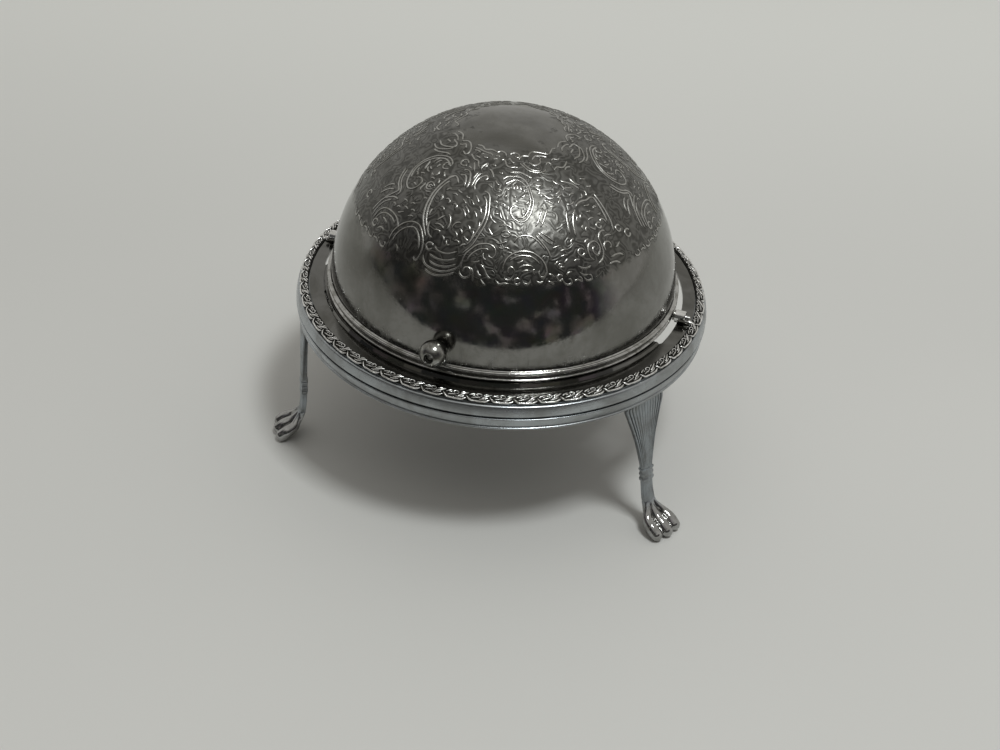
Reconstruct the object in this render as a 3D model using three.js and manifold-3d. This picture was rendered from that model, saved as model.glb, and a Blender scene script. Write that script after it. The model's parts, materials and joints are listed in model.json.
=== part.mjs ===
// Revolving butter dish: a domed cover on two pivots rolls back under a ring on three paw feet.
// Millimetres, +Z up, knob at the front (-Y). The cover turns about a line parallel to X.
import * as THREE from 'three';
import { mergeVertices } from 'three/addons/utils/BufferGeometryUtils.js';
import Module from 'manifold-3d';

const wasm = await Module();
wasm.setup();

// Cover
const COVER_RADIUS = 67.8; // outside of the dome, centred on the pivot line
const TABLE_CLEARANCE = 2.9; // left under the cover when it is swung below the ring
const COVER_WALL = 0.8;
const BEAD_BELOW = 1.4; // the cover's edge below the pivot line
const BEAD_ABOVE = 2.8;
const BEAD_STAND = 1.5; // the bead stands this far out from the dome
const BEAD_GAP = 0.2;

// Frame ring
const PIVOT_RISE = 3.7; // pivot line above the shelf
const COVER_TO_SHELF = 5.9; // from the cover's bead out to the shelf's inner edge
const SHELF_WIDTH = 4.7; // out to where the shelf turns down into the band
const RIM_WALL = 1.2;
const RIM_BULGE = 1.6; // the band swells this far out past the shelf edge
const GROOVE_DROP = 5.2; // groove below the shelf
const RIM_DROP = 11; // lower lip below the shelf
const BORDER_WIDTH = 3.3;
const BORDER_HEIGHT = 3.2;
const BORDER_MOTIFS = 58;
const BORDER_RELIEF = 0.5;

// Tray
const PLATE_THICK = 1;
const JOINT_GAP = 0.3; // left between pieces that are soldered or rest on each other
const SLOT_CLEARANCE = 0.8; // tray to the inside of the cover
const SLOT_OUTSIDE = 2.1; // slot edge to the cover's bead
const SLOT_FRONT_ANGLE = 13; // degrees that the slot runs on in front of each pivot
const SEAT_WIDTH = 6.2; // ledge between the slot and the hole that takes the liner
const TRAY_COLLAR = 7;
const NOTCH_RADIUS = 3.4; // clears the pivot nuts

// Pivots
const PIN_RADIUS = 0.8;
const PIN_FIT = 0.06; // running clearance round the pin
const BARREL_RADIUS = 2.3;
const BARREL_LENGTH = 4.2;
const LUG_LENGTH = 3.6; // along the pin
const LUG_WIDTH = 11.6;
const LUG_HEIGHT = 2;
const WASHER_RADIUS = 2.1;
const WASHER_THICK = 0.5;
const END_PLAY = 0.12;
const NUT_ACROSS = 3.6;
const NUT_THICK = 1.3;

// Knob, on a line from the dome's centre
const KNOB_RISE = 7.2; // degrees above the pivot plane
const KNOB_TURN = 1.6; // degrees off the front's middle, to the left
const KNOB_RADIUS = 5;
const KNOB_STAND = 6; // ball's centre out from the dome
const KNOB_HOLE = 1.7;
const KNOB_HOLE_DEPTH = 3.4;
const RIVET_RADIUS = 0.95;
const FERRULE_RADIUS = 2.2;

// Legs
const LEG_ANGLES = { leg_front_right: -28.5, leg_back: 90, leg_front_left: 208.5 };
const LEG_INSET = 1.2; // middle of the leg's top inside the shelf's outer edge
const LEG_SPLAY = 5; // the legs stand out this much more at the table
const LEG_LEAN_X = 4.4; // all three lean this way, as on the worn original
const LEG_LEAN_Y = -0.5;
const FAN_WIDTH = 20;
const ANKLE_WIDTH = 5;
const LEG_THICK = 2.8;
const FLUTES = 6;
const FLUTE_DEPTH = 0.55;
const COLLAR_Z = 23.5; // middle of the knuckle collar above the table
const TOE_RUN = 17.5; // toe tips out from the leg's top
const PAW_WIDTH = 15;
const PAW_HEIGHT = 7;
const PAW_SWEEP = 3; // the shin's foot runs this far out into the paw
const TOES = 4;
const TOE_RADIUS = 2.2;
const LEG_TAB_WIDTH = 12;
const LEG_TAB_HEIGHT = 8;

// Liner
const LINER_LIP = 1.8; // the lip overhangs the tray's opening by this much
const LINER_FIT = 0.6;
const LINER_WALL = 3;
const LINER_DEPTH = 23; // below its lip
const LINER_TAPER = 15; // its underside is this much narrower than the tray's opening
const LINER_LIP_THICK = 2.2;

// Steps round each turned shape
const RING_STEPS = 60;
const LINER_STEPS = 44;
const COVER_STEPS = 60;
const SMALL_STEPS = 16;

const silverSatin = new THREE.MeshStandardMaterial({ color: 0x8f9296, roughness: 0.45, metalness: 1 });
const silverBright = new THREE.MeshStandardMaterial({ color: 0xa3a4a3, roughness: 0.15, metalness: 1 });
const silverCast = new THREE.MeshStandardMaterial({ color: 0x868a8f, roughness: 0.35, metalness: 1 });
const steel = new THREE.MeshStandardMaterial({ color: 0x9a9a98, roughness: 0.3, metalness: 1 });
const glass = new THREE.MeshStandardMaterial({
  color: 0xe6f0ec, roughness: 0.05, metalness: 0, transparent: true, opacity: 0.35,
});

const radians = THREE.MathUtils.degToRad;

// Merges shared corners and drops the slivers that a pole leaves.
function weld(geometry) {
  const bare = geometry.clone();
  bare.deleteAttribute('normal');
  bare.deleteAttribute('uv');
  const merged = mergeVertices(bare, 1e-4);
  const index = merged.index.array;
  const kept = [];
  for (let i = 0; i < index.length; i += 3) {
    const [a, b, c] = index.subarray(i, i + 3);
    if (a !== b && b !== c && c !== a) kept.push(a, b, c);
  }
  merged.setIndex(kept);
  merged.computeVertexNormals();
  return merged;
}

function toSolid(geometry) {
  const closed = weld(geometry);
  return new wasm.Manifold(new wasm.Mesh({
    numProp: 3,
    vertProperties: new Float32Array(closed.attributes.position.array),
    triVerts: new Uint32Array(closed.index.array),
  }));
}

function toGeometry(solid) {
  const mesh = solid.getMesh();
  const geometry = new THREE.BufferGeometry();
  geometry.setAttribute('position', new THREE.BufferAttribute(new Float32Array(mesh.vertProperties), 3));
  geometry.setIndex(new THREE.BufferAttribute(new Uint32Array(mesh.triVerts), 1));
  geometry.computeVertexNormals();
  return geometry;
}

function cut(geometry, ...tools) {
  return toGeometry(tools.reduce((solid, tool) => solid.subtract(toSolid(tool)), toSolid(geometry)));
}

function join(...geometries) {
  return toGeometry(geometries.map(toSolid).reduce((sum, solid) => sum.add(solid)));
}

// Turns [radius, height] points about Z. The points run anticlockwise, up on the outside.
function turned(points, steps) {
  const profile = points.map(([r, z]) => new THREE.Vector2(r, z));
  return weld(new THREE.LatheGeometry(profile, steps).rotateX(Math.PI / 2));
}

function turnedRing(points, steps) {
  return turned([...points, points[0]], steps);
}

// A turned shape laid along +X from x = 0.
function turnedOnX(points, steps) {
  return turned(points, steps).rotateY(Math.PI / 2);
}

function arcPoints(cx, cz, radiusX, radiusZ, from, to, steps) {
  return Array.from({ length: steps + 1 }, (_, i) => {
    const angle = radians(from + ((to - from) * i) / steps);
    return [cx + radiusX * Math.cos(angle), cz + radiusZ * Math.sin(angle)];
  });
}

// Joins outlines of equal point counts into one closed solid.
function loft(outlines) {
  const count = outlines[0].length;
  const last = outlines.length - 1;
  const points = outlines.flat();
  const middle = (outline) => outline.reduce((sum, p) => sum.add(p), new THREE.Vector3()).divideScalar(count);
  points.push(middle(outlines[0]), middle(outlines[last]));
  const [startCap, endCap] = [points.length - 2, points.length - 1];
  const faces = [];
  for (let j = 0; j < count; j += 1) {
    const k = (j + 1) % count;
    for (let i = 0; i < last; i += 1) {
      const [a, b, c, d] = [i * count + j, i * count + k, (i + 1) * count + k, (i + 1) * count + j];
      faces.push(a, b, c, a, c, d);
    }
    faces.push(startCap, k, j, endCap, last * count + j, last * count + k);
  }
  const geometry = new THREE.BufferGeometry().setFromPoints(points);
  geometry.setIndex(faces);
  geometry.computeVertexNormals();
  return geometry;
}

// Radii that several pieces share
const coverInner = COVER_RADIUS - COVER_WALL;
const beadOuter = COVER_RADIUS + BEAD_STAND;
const slotInner = coverInner - SLOT_CLEARANCE;
const slotOuter = beadOuter + SLOT_OUTSIDE;
const trayOpening = slotInner - SEAT_WIDTH;
const rimInner = beadOuter + COVER_TO_SHELF;
const rimEdge = rimInner + SHELF_WIDTH;
const borderInner = rimEdge - BORDER_WIDTH;
const plateEdge = borderInner - JOINT_GAP;

// Heights that several pieces share
const pivotZ = COVER_RADIUS + TABLE_CLEARANCE;
const shelfZ = pivotZ - PIVOT_RISE;
const plateTop = shelfZ + PLATE_THICK;
const seatTop = pivotZ - BEAD_BELOW - JOINT_GAP; // the cover's edge comes down on this seat
const rimBottom = shelfZ - RIM_DROP;

function rimBand() {
  const bulge = rimEdge + RIM_BULGE;
  const groove = shelfZ - GROOVE_DROP;
  const lip = rimBottom;
  return turnedRing([
    [rimInner, shelfZ - RIM_WALL],
    [rimEdge - RIM_WALL + 0.3, shelfZ - RIM_WALL],
    [bulge - RIM_WALL, groove + 1],
    [rimEdge - 0.6, lip],
    [rimEdge + 0.5, lip],
    [rimEdge + 0.8, lip + 0.7],
    [rimEdge + 0.4, lip + 1.4],
    [bulge - 0.2, groove - 0.7],
    [bulge - 0.6, groove],
    [bulge, groove + 0.5],
    [bulge - 0.3, groove + 2.6],
    [rimEdge, shelfZ],
    [rimInner, shelfZ],
  ], RING_STEPS);
}

// The slot is a band of the ring from in front of one pivot, round the back, to in front of the other.
function slotCutter() {
  const middle = (slotInner + slotOuter) / 2;
  const half = (slotOuter - slotInner) / 2;
  const start = radians(-SLOT_FRONT_ANGLE);
  const end = Math.PI - start;
  const shape = new THREE.Shape();
  shape.absarc(0, 0, slotOuter, start, end, false);
  shape.absarc(middle * Math.cos(end), middle * Math.sin(end), half, end, end + Math.PI, false);
  shape.absarc(0, 0, slotInner, end, start, true);
  shape.absarc(middle * Math.cos(start), middle * Math.sin(start), half, start - Math.PI, start, false);
  const depth = 4 * PLATE_THICK + PIVOT_RISE;
  const geometry = new THREE.ExtrudeGeometry(shape, { depth, bevelEnabled: false, curveSegments: RING_STEPS / 2 });
  return geometry.translate(0, 0, shelfZ - PLATE_THICK);
}

function trayPlate() {
  const collarBottom = seatTop - TRAY_COLLAR;
  const stepOut = beadOuter + 1.2;
  const ring = turnedRing([
    [trayOpening, collarBottom],
    [trayOpening + PLATE_THICK, collarBottom],
    [trayOpening + PLATE_THICK, seatTop - PLATE_THICK],
    [stepOut - 0.6, seatTop - PLATE_THICK],
    [stepOut, shelfZ],
    [plateEdge, shelfZ],
    [plateEdge, plateTop],
    [stepOut + 0.4, plateTop],
    [stepOut - 0.3, seatTop],
    [trayOpening + 0.5, seatTop],
    [trayOpening, seatTop - 0.5],
  ], RING_STEPS);
  const notches = [1, -1].map((side) => (
    new THREE.CylinderGeometry(NOTCH_RADIUS, NOTCH_RADIUS, 2 * TRAY_COLLAR, SMALL_STEPS)
      .rotateX(Math.PI / 2).translate(side * slotInner, 0, seatTop)
  ));
  return cut(ring, slotCutter(), ...notches);
}

// A cast moulding whose crest and outer edge rise and fall once for each leaf.
function leafBorder() {
  const base = turnedRing([
    [borderInner, shelfZ],
    [rimEdge, shelfZ],
    [rimEdge, shelfZ + 0.25 * BORDER_HEIGHT],
    [rimEdge - 0.25 * BORDER_WIDTH, shelfZ + 0.75 * BORDER_HEIGHT],
    [borderInner + 0.35 * BORDER_WIDTH, shelfZ + BORDER_HEIGHT],
    [borderInner, shelfZ + 0.6 * BORDER_HEIGHT],
  ], 2 * BORDER_MOTIFS);
  const position = base.attributes.position;
  for (let i = 0; i < position.count; i += 1) {
    const rise = (position.getZ(i) - shelfZ) / BORDER_HEIGHT;
    const around = Math.atan2(position.getY(i), position.getX(i));
    const valley = rise > 0 ? 0.5 - 0.5 * Math.cos(BORDER_MOTIFS * around) : 0;
    position.setZ(i, position.getZ(i) - BORDER_RELIEF * valley * rise);
  }
  base.computeVertexNormals();
  return base;
}

// One level of the leg: the outer face carries the flutes, the inner face is plain.
function legOutline({ z, x, width, thick, flutes }) {
  const across = 2 * FLUTES;
  const outer = Array.from({ length: across + 1 }, (_, i) => {
    const u = (2 * i) / across - 1;
    const depth = i % 2 ? flutes * FLUTE_DEPTH : 0;
    const crown = 0.2 * thick * (1 - u * u);
    return new THREE.Vector3(x + 0.3 * thick + crown - depth, (u * width) / 2, z);
  });
  const inner = [0.94, 0.5, 0, -0.5, -0.94].map((u) => (
    new THREE.Vector3(x - 0.35 * thick - 0.15 * thick * (1 - u * u), (u * width) / 2, z)
  ));
  return [...outer, ...inner];
}

const legTop = rimBottom - JOINT_GAP;
const legRadius = rimEdge - LEG_INSET;
const toeReach = legRadius + TOE_RUN;

// The leg's middle at a height: it splays outwards towards the table.
function legMiddle(z) {
  return legRadius + LEG_SPLAY * (1 - z / legTop);
}

function legShank() {
  const at = (z, width, thick, flutes, out = 0) => ({ z, x: legMiddle(z) + out, width, thick, flutes });
  const shin = (share) => PAW_HEIGHT + share * (COLLAR_Z - PAW_HEIGHT);
  const fan = (share) => COLLAR_Z + share * (legTop - COLLAR_Z);
  const levels = [
    at(0.5 * PAW_HEIGHT, 0.6 * PAW_WIDTH, 1.4 * LEG_THICK, 0, 1.6 * PAW_SWEEP),
    at(0.75 * PAW_HEIGHT, 0.52 * PAW_WIDTH, 1.1 * LEG_THICK, 0, PAW_SWEEP),
    at(PAW_HEIGHT, ANKLE_WIDTH + 1.8, LEG_THICK, 0, 0.6 * PAW_SWEEP),
    at(shin(0.2), ANKLE_WIDTH + 0.7, LEG_THICK, 0.2, 0.25 * PAW_SWEEP),
    at(shin(0.5), ANKLE_WIDTH, LEG_THICK, 0.2),
    at(COLLAR_Z - 3.2, ANKLE_WIDTH + 0.2, LEG_THICK, 0),
    at(COLLAR_Z - 2.4, ANKLE_WIDTH + 1.2, LEG_THICK + 0.7, 0),
    at(COLLAR_Z - 0.6, ANKLE_WIDTH + 0.5, LEG_THICK + 0.2, 0),
    at(COLLAR_Z + 0.4, ANKLE_WIDTH + 0.5, LEG_THICK + 0.2, 0),
    at(COLLAR_Z + 2.2, ANKLE_WIDTH + 1.2, LEG_THICK + 0.7, 0),
    at(COLLAR_Z + 3, ANKLE_WIDTH + 0.2, LEG_THICK, 0.2),
    at(fan(0.25), 0.345 * FAN_WIDTH, LEG_THICK, 0.5),
    at(fan(0.5), 0.52 * FAN_WIDTH, LEG_THICK, 0.8),
    at(fan(0.75), 0.78 * FAN_WIDTH, LEG_THICK, 1),
    at(fan(0.95), FAN_WIDTH, LEG_THICK, 1),
    at(legTop, FAN_WIDTH - 1, LEG_THICK, 1),
  ];
  return loft(levels.map(legOutline));
}

// Balls of given radii, each pair in turn wrapped in one skin.
function limb(balls) {
  const solids = balls.map(([x, y, z, radius]) => (
    toSolid(new THREE.SphereGeometry(radius, 8, 6).rotateX(Math.PI / 2).translate(x, y, z))
  ));
  const skins = solids.slice(1).map((ball, i) => wasm.Manifold.hull([solids[i], ball]));
  return toGeometry(skins.reduce((sum, skin) => sum.add(skin)));
}

// A toe runs out from the instep, over its knuckle and down to its tip.
function toe(i) {
  const side = i - (TOES - 1) / 2;
  const tipY = side * ((PAW_WIDTH - 2 * TOE_RADIUS) / (TOES - 1));
  const tipX = toeReach - TOE_RADIUS - 0.7 * Math.abs(side);
  return limb([
    [legMiddle(PAW_HEIGHT) + 0.9 * PAW_SWEEP, 0.35 * tipY, 0.85 * PAW_HEIGHT, 0.7 * TOE_RADIUS],
    [tipX - 0.7 * PAW_HEIGHT, 0.82 * tipY, 0.56 * PAW_HEIGHT, 0.9 * TOE_RADIUS],
    [tipX, tipY, TOE_RADIUS - 0.4, TOE_RADIUS],
  ]);
}

// Slides every level sideways by its depth below the rim.
function leaned(geometry, angle) {
  geometry.rotateZ(radians(angle));
  const [leanX, leanY] = [LEG_LEAN_X / legTop, LEG_LEAN_Y / legTop];
  return geometry.applyMatrix4(new THREE.Matrix4().set(
    1, 0, -leanX, leanX * legTop,
    0, 1, -leanY, leanY * legTop,
    0, 0, 1, 0,
    0, 0, 0, 1,
  ));
}

function leg(angle) {
  const pad = limb([
    [legMiddle(0) + 1.3 * PAW_SWEEP, 0, 0.5 * PAW_HEIGHT, 0.15 * PAW_WIDTH],
    [toeReach - 0.45 * PAW_WIDTH, 0, 0.2 * PAW_HEIGHT, 0.2 * PAW_WIDTH],
  ]);
  pad.scale(1, 1.5, 1);
  const tabBottom = rimBottom - 3;
  const tabOuter = legRadius - 0.6;
  const tab = new THREE.BoxGeometry(2.2, LEG_TAB_WIDTH, LEG_TAB_HEIGHT + 3);
  tab.translate(tabOuter - 1.1, 0, tabBottom + (LEG_TAB_HEIGHT + 3) / 2);
  const toes = Array.from({ length: TOES }, (_, i) => toe(i));
  const below = new THREE.BoxGeometry(toeReach, toeReach, PAW_HEIGHT).translate(toeReach, 0, -PAW_HEIGHT / 2);
  return leaned(cut(join(legShank(), tab, pad, ...toes), below), angle);
}

// Places along the pin, from the ring's axis outwards
const washerStart = beadOuter + 0.15;
const barrelStart = washerStart + WASHER_THICK + END_PLAY;
const nutEnd = coverInner - JOINT_GAP;
const nutStart = nutEnd - NUT_THICK;
const pinStart = nutStart - 0.5;
const pinEnd = borderInner - JOINT_GAP;

function bored(outer, inner, length) {
  return turnedOnX([[inner, 0], [outer, 0], [outer, length], [inner, length], [inner, 0]], SMALL_STEPS);
}

function pivotLug() {
  const shape = new THREE.Shape();
  const half = LUG_WIDTH / 2;
  shape.moveTo(-half, 0);
  shape.lineTo(half, 0);
  shape.lineTo(half, 0.5 * LUG_HEIGHT);
  shape.lineTo(half - 1.2, LUG_HEIGHT);
  shape.lineTo(-half + 1.2, LUG_HEIGHT);
  shape.lineTo(-half, 0.5 * LUG_HEIGHT);
  shape.closePath();
  const block = new THREE.ExtrudeGeometry(shape, { depth: LUG_LENGTH, bevelEnabled: false });
  block.rotateX(Math.PI / 2).rotateZ(Math.PI / 2).translate(0, 0, plateTop - pivotZ);
  const saddle = BARREL_RADIUS + 0.5 * JOINT_GAP;
  const groove = new THREE.CylinderGeometry(saddle, saddle, 3 * LUG_LENGTH, SMALL_STEPS).rotateZ(Math.PI / 2);
  return cut(block, groove).translate(barrelStart, 0, 0);
}

function pivotBarrel() {
  return bored(BARREL_RADIUS, PIN_RADIUS + PIN_FIT, BARREL_LENGTH).translate(barrelStart, 0, 0);
}

function pivotPin() {
  const length = pinEnd - pinStart;
  return turnedOnX([
    [0, 0],
    [0.6 * PIN_RADIUS, 0],
    [PIN_RADIUS, 0.4],
    [PIN_RADIUS, length - 0.4],
    [0.6 * PIN_RADIUS, length],
    [0, length],
  ], SMALL_STEPS).translate(pinStart, 0, 0);
}

function pivotWasher() {
  return bored(WASHER_RADIUS, PIN_RADIUS + PIN_FIT, WASHER_THICK).translate(washerStart, 0, 0);
}

function hexNut(across, bore, thick) {
  const body = new THREE.CylinderGeometry(across / Math.sqrt(3), across / Math.sqrt(3), thick, 6);
  const hole = new THREE.CylinderGeometry(bore, bore, 3 * thick, SMALL_STEPS);
  return cut(body, hole).rotateZ(Math.PI / 2);
}

function pivotNut() {
  return hexNut(NUT_ACROSS, PIN_RADIUS + PIN_FIT, NUT_THICK).translate(nutStart + NUT_THICK / 2, 0, 0);
}

function pinHole(radius) {
  return new THREE.CylinderGeometry(radius, radius, 4 * COVER_RADIUS, SMALL_STEPS).rotateZ(Math.PI / 2);
}

// The knob's line, as a hole tool from inside the dome outwards
function knobLine(geometry) {
  return geometry.rotateY(-radians(KNOB_RISE)).rotateZ(-Math.PI / 2 - radians(KNOB_TURN));
}

function coverDome() {
  const shell = turned([
    ...arcPoints(0, 0, coverInner, coverInner, 90, 0, 12),
    [coverInner, -BEAD_BELOW],
    [COVER_RADIUS, -BEAD_BELOW],
    ...arcPoints(0, 0, COVER_RADIUS, COVER_RADIUS, 0, 90, 12),
  ], COVER_STEPS);
  const hole = RIVET_RADIUS + 0.1;
  const knobHole = new THREE.CylinderGeometry(hole, hole, COVER_RADIUS, SMALL_STEPS).rotateZ(Math.PI / 2);
  return cut(shell, pinHole(PIN_RADIUS + PIN_FIT), knobLine(knobHole.translate(COVER_RADIUS, 0, 0)));
}

// Two beads with a groove between them, round the cover's edge
function coverRimBead() {
  const inner = COVER_RADIUS + BEAD_GAP;
  const ring = turnedRing([
    [inner, -BEAD_BELOW],
    [beadOuter - 0.5, -BEAD_BELOW],
    [beadOuter - 0.1, -BEAD_BELOW + 0.5],
    [beadOuter - 0.2, -BEAD_BELOW + 1.1],
    [beadOuter - 0.6, -BEAD_BELOW + 1.5],
    [beadOuter - 0.1, 0.5],
    [beadOuter, 0.5 * BEAD_ABOVE],
    [beadOuter - 0.4, 0.85 * BEAD_ABOVE],
    [inner + 0.3, BEAD_ABOVE],
    [inner, BEAD_ABOVE],
  ], COVER_STEPS);
  return cut(ring, pinHole(PIN_RADIUS + PIN_FIT));
}

// Places along the knob's line, from the dome's centre outwards
const knobReach = COVER_RADIUS + KNOB_STAND;
const ferruleStart = COVER_RADIUS + JOINT_GAP;
const ballFlat = knobReach - 0.95 * KNOB_RADIUS;
const ferruleEnd = ballFlat - JOINT_GAP;
const holeBottom = knobReach + KNOB_RADIUS - KNOB_HOLE_DEPTH;

function knobBall() {
  const bore = RIVET_RADIUS + 0.1;
  const flatRadius = Math.sqrt(KNOB_RADIUS ** 2 - (knobReach - ballFlat) ** 2);
  const start = -THREE.MathUtils.radToDeg(Math.acos(flatRadius / KNOB_RADIUS));
  const mouth = THREE.MathUtils.radToDeg(Math.acos(KNOB_HOLE / KNOB_RADIUS));
  const outside = arcPoints(0, knobReach, KNOB_RADIUS, KNOB_RADIUS, start, mouth, 9);
  return turnedOnX([
    [bore, ballFlat],
    ...outside,
    [KNOB_HOLE, holeBottom],
    [bore, holeBottom],
    [bore, ballFlat],
  ], SMALL_STEPS);
}

function knobFerrule() {
  const bore = RIVET_RADIUS + 0.1;
  const waist = 0.8 * FERRULE_RADIUS;
  return turnedOnX([
    [bore, ferruleStart],
    [FERRULE_RADIUS, ferruleStart],
    [waist, (ferruleStart + ferruleEnd) / 2],
    [FERRULE_RADIUS, ferruleEnd],
    [bore, ferruleEnd],
    [bore, ferruleStart],
  ], SMALL_STEPS);
}

function knobRivet() {
  const headTop = holeBottom + 1.4;
  return turnedOnX([
    [0, pinStart],
    [RIVET_RADIUS, pinStart],
    [RIVET_RADIUS, holeBottom + JOINT_GAP],
    [KNOB_HOLE - 0.2, holeBottom + JOINT_GAP],
    [KNOB_HOLE - 0.3, headTop - 0.4],
    [0, headTop],
  ], SMALL_STEPS);
}

function knobNut() {
  return hexNut(NUT_ACROSS + 0.6, RIVET_RADIUS + 0.1, NUT_THICK).translate(nutStart + NUT_THICK / 2, 0, 0);
}

function glassLiner() {
  const base = trayOpening - LINER_TAPER;
  const wall = trayOpening - LINER_FIT;
  const lip = trayOpening + LINER_LIP;
  const bottom = seatTop - LINER_DEPTH;
  return turned([
    [0, bottom + LINER_WALL],
    [base - 2.5, bottom + LINER_WALL],
    [base + 2, bottom + LINER_WALL + 3],
    [wall - LINER_WALL, seatTop + 0.8],
    [wall - LINER_WALL + 1, seatTop + LINER_LIP_THICK],
    [lip - 0.6, seatTop + LINER_LIP_THICK],
    [lip, seatTop + 0.6 * LINER_LIP_THICK],
    [lip - 0.3, seatTop],
    [wall, seatTop],
    [base + 2, bottom + 2],
    [base, bottom],
    [base - LINER_WALL, bottom],
    [base - LINER_WALL - 1, bottom + 0.8],
    [0, bottom + 0.8],
  ].reverse(), LINER_STEPS);
}

function piece(group, name, geometry, material) {
  const mesh = new THREE.Mesh(geometry, material.clone());
  mesh.name = name;
  group.add(mesh);
  return mesh;
}

const dish = new THREE.Group();

piece(dish, 'rim_band', rimBand(), silverSatin);
piece(dish, 'tray_plate', trayPlate(), silverSatin);
piece(dish, 'leaf_border', leafBorder(), silverCast);
for (const [name, angle] of Object.entries(LEG_ANGLES)) {
  piece(dish, name, leg(angle), silverCast);
}
piece(dish, 'glass_liner', glassLiner(), glass);

// Everything on the pivot line is placed from its middle.
const pivotLine = new THREE.Group();
pivotLine.position.z = pivotZ;
dish.add(pivotLine);

piece(pivotLine, 'cover_dome', coverDome(), silverBright);
piece(pivotLine, 'cover_rim_bead', coverRimBead(), silverBright);
for (const side of ['right', 'left']) {
  const group = new THREE.Group();
  group.rotation.z = side === 'right' ? 0 : Math.PI;
  pivotLine.add(group);
  piece(group, `pivot_lug_${side}`, pivotLug(), silverCast);
  piece(group, `pivot_barrel_${side}`, pivotBarrel(), silverBright);
  piece(group, `pivot_pin_${side}`, pivotPin(), steel);
  piece(group, `pivot_washer_${side}`, pivotWasher(), silverBright);
  piece(group, `pivot_nut_${side}`, pivotNut(), steel);
}
piece(pivotLine, 'knob_ball', knobLine(knobBall()), silverBright);
piece(pivotLine, 'knob_ferrule', knobLine(knobFerrule()), silverBright);
piece(pivotLine, 'knob_rivet', knobLine(knobRivet()), steel);
piece(pivotLine, 'knob_nut', knobLine(knobNut()), steel);

// The origin lies on the table under the middle of the whole outline.
const outline = new THREE.Box3().setFromObject(dish);
dish.position.set(-(outline.min.x + outline.max.x) / 2, -(outline.min.y + outline.max.y) / 2, -outline.min.z);
dish.updateMatrixWorld(true);

export default dish;
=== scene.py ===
# Revolving butter dish in worn silver plate: looks, floor, light and camera round the fixed frame.
import json
import math

import bmesh
import bpy
from mathutils import Matrix, Vector


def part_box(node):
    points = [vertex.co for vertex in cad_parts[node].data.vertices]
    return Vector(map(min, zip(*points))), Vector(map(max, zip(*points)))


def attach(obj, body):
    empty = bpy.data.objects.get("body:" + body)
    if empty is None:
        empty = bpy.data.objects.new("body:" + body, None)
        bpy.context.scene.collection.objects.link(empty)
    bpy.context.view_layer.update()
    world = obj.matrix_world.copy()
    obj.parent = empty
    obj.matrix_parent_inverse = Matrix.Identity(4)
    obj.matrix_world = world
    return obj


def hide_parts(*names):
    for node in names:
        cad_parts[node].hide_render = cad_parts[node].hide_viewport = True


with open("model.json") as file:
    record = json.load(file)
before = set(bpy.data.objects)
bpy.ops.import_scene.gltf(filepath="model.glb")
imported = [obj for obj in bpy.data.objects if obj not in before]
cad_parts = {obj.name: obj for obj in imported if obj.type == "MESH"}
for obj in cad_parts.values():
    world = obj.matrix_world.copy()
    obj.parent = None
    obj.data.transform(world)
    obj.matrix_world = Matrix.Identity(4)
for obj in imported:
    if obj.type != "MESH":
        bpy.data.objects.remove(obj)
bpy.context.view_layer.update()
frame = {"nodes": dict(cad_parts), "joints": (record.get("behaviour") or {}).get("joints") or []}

nodes = frame["nodes"]

# Shapes are modelled in millimetres about the ring's own axis, with the table at z = 0.
ring_low, ring_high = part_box("rim_band")
RING_MIDDLE = (ring_low + ring_high) / 2
PLACE = Matrix.Translation((RING_MIDDLE.x, RING_MIDDLE.y, 0)) @ Matrix.Scale(0.001, 4)
SHELF = ring_high.z * 1000
PIVOT = next(j for j in frame["joints"] if j["name"] == "cover_swing")["pos_m"][2] * 1000

DOME_RADIUS = 67.8
DOME_WALL = 0.8
RIM_BOTTOM = SHELF - 11
BORDER_INNER = 76.6
LEAVES = 58
LEG_ANGLES = {"leg_front_right": -28.5, "leg_back": 90, "leg_front_left": 208.5}
LEG_TOP = RIM_BOTTOM - 0.3
LEG_RADIUS = 78.7
LEG_SPLAY = 5
LEG_LEAN = (4.4, -0.5)
TOE_REACH = 96.2
PAW_WIDTH = 15
TOES = 3
KNOB_RISE = 7.2  # degrees above the pivots
KNOB_SIDE = -91.6  # degrees round the ring, from +X
CAMERA_SIDE = -73.1  # degrees round the ring, from +X, where the camera stands


# Materials

def put(socket, value):
    if isinstance(value, Wire):
        socket.id_data.links.new(value.socket, socket)
    else:
        socket.default_value = value


def new_node(tree, kind, settings=None, inputs=None):
    """A shader node with its settings, which go first, and the values or links of its sockets."""
    node = tree.nodes.new("ShaderNode" + kind)
    for name, value in (settings or {}).items():
        setattr(node, name, value)
    for name, value in (inputs or {}).items():
        put(node.inputs[name], value)
    return node


class Wire:
    """A node's output. Arithmetic on it adds Math nodes."""

    def __init__(self, socket):
        self.socket = socket

    def math(self, operation, *values):
        node = new_node(self.socket.id_data, "Math", {"operation": operation}, dict(enumerate(values)))
        return Wire(node.outputs[0])

    def __add__(self, other):
        return self.math("ADD", self, other)

    def __sub__(self, other):
        return self.math("SUBTRACT", self, other)

    def __rsub__(self, other):
        return self.math("SUBTRACT", other, self)

    def __mul__(self, other):
        return self.math("MULTIPLY", self, other)

    def __pow__(self, other):
        return self.math("POWER", self, other)

    def above(self, low, high):
        """0 below low, 1 above high, smooth between."""
        node = new_node(self.socket.id_data, "MapRange", {"interpolation_type": "SMOOTHSTEP"},
                        {0: self, 1: low, 2: high})
        return Wire(node.outputs[0])

    def waves(self, count):
        """Smooth waves from 0 to 1 as the value grows, count of them to the unit."""
        angle = self * (2 * math.pi * count)
        return 0.5 + 0.5 * angle.math("SINE", angle)

    __radd__ = __add__
    __rmul__ = __mul__


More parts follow.
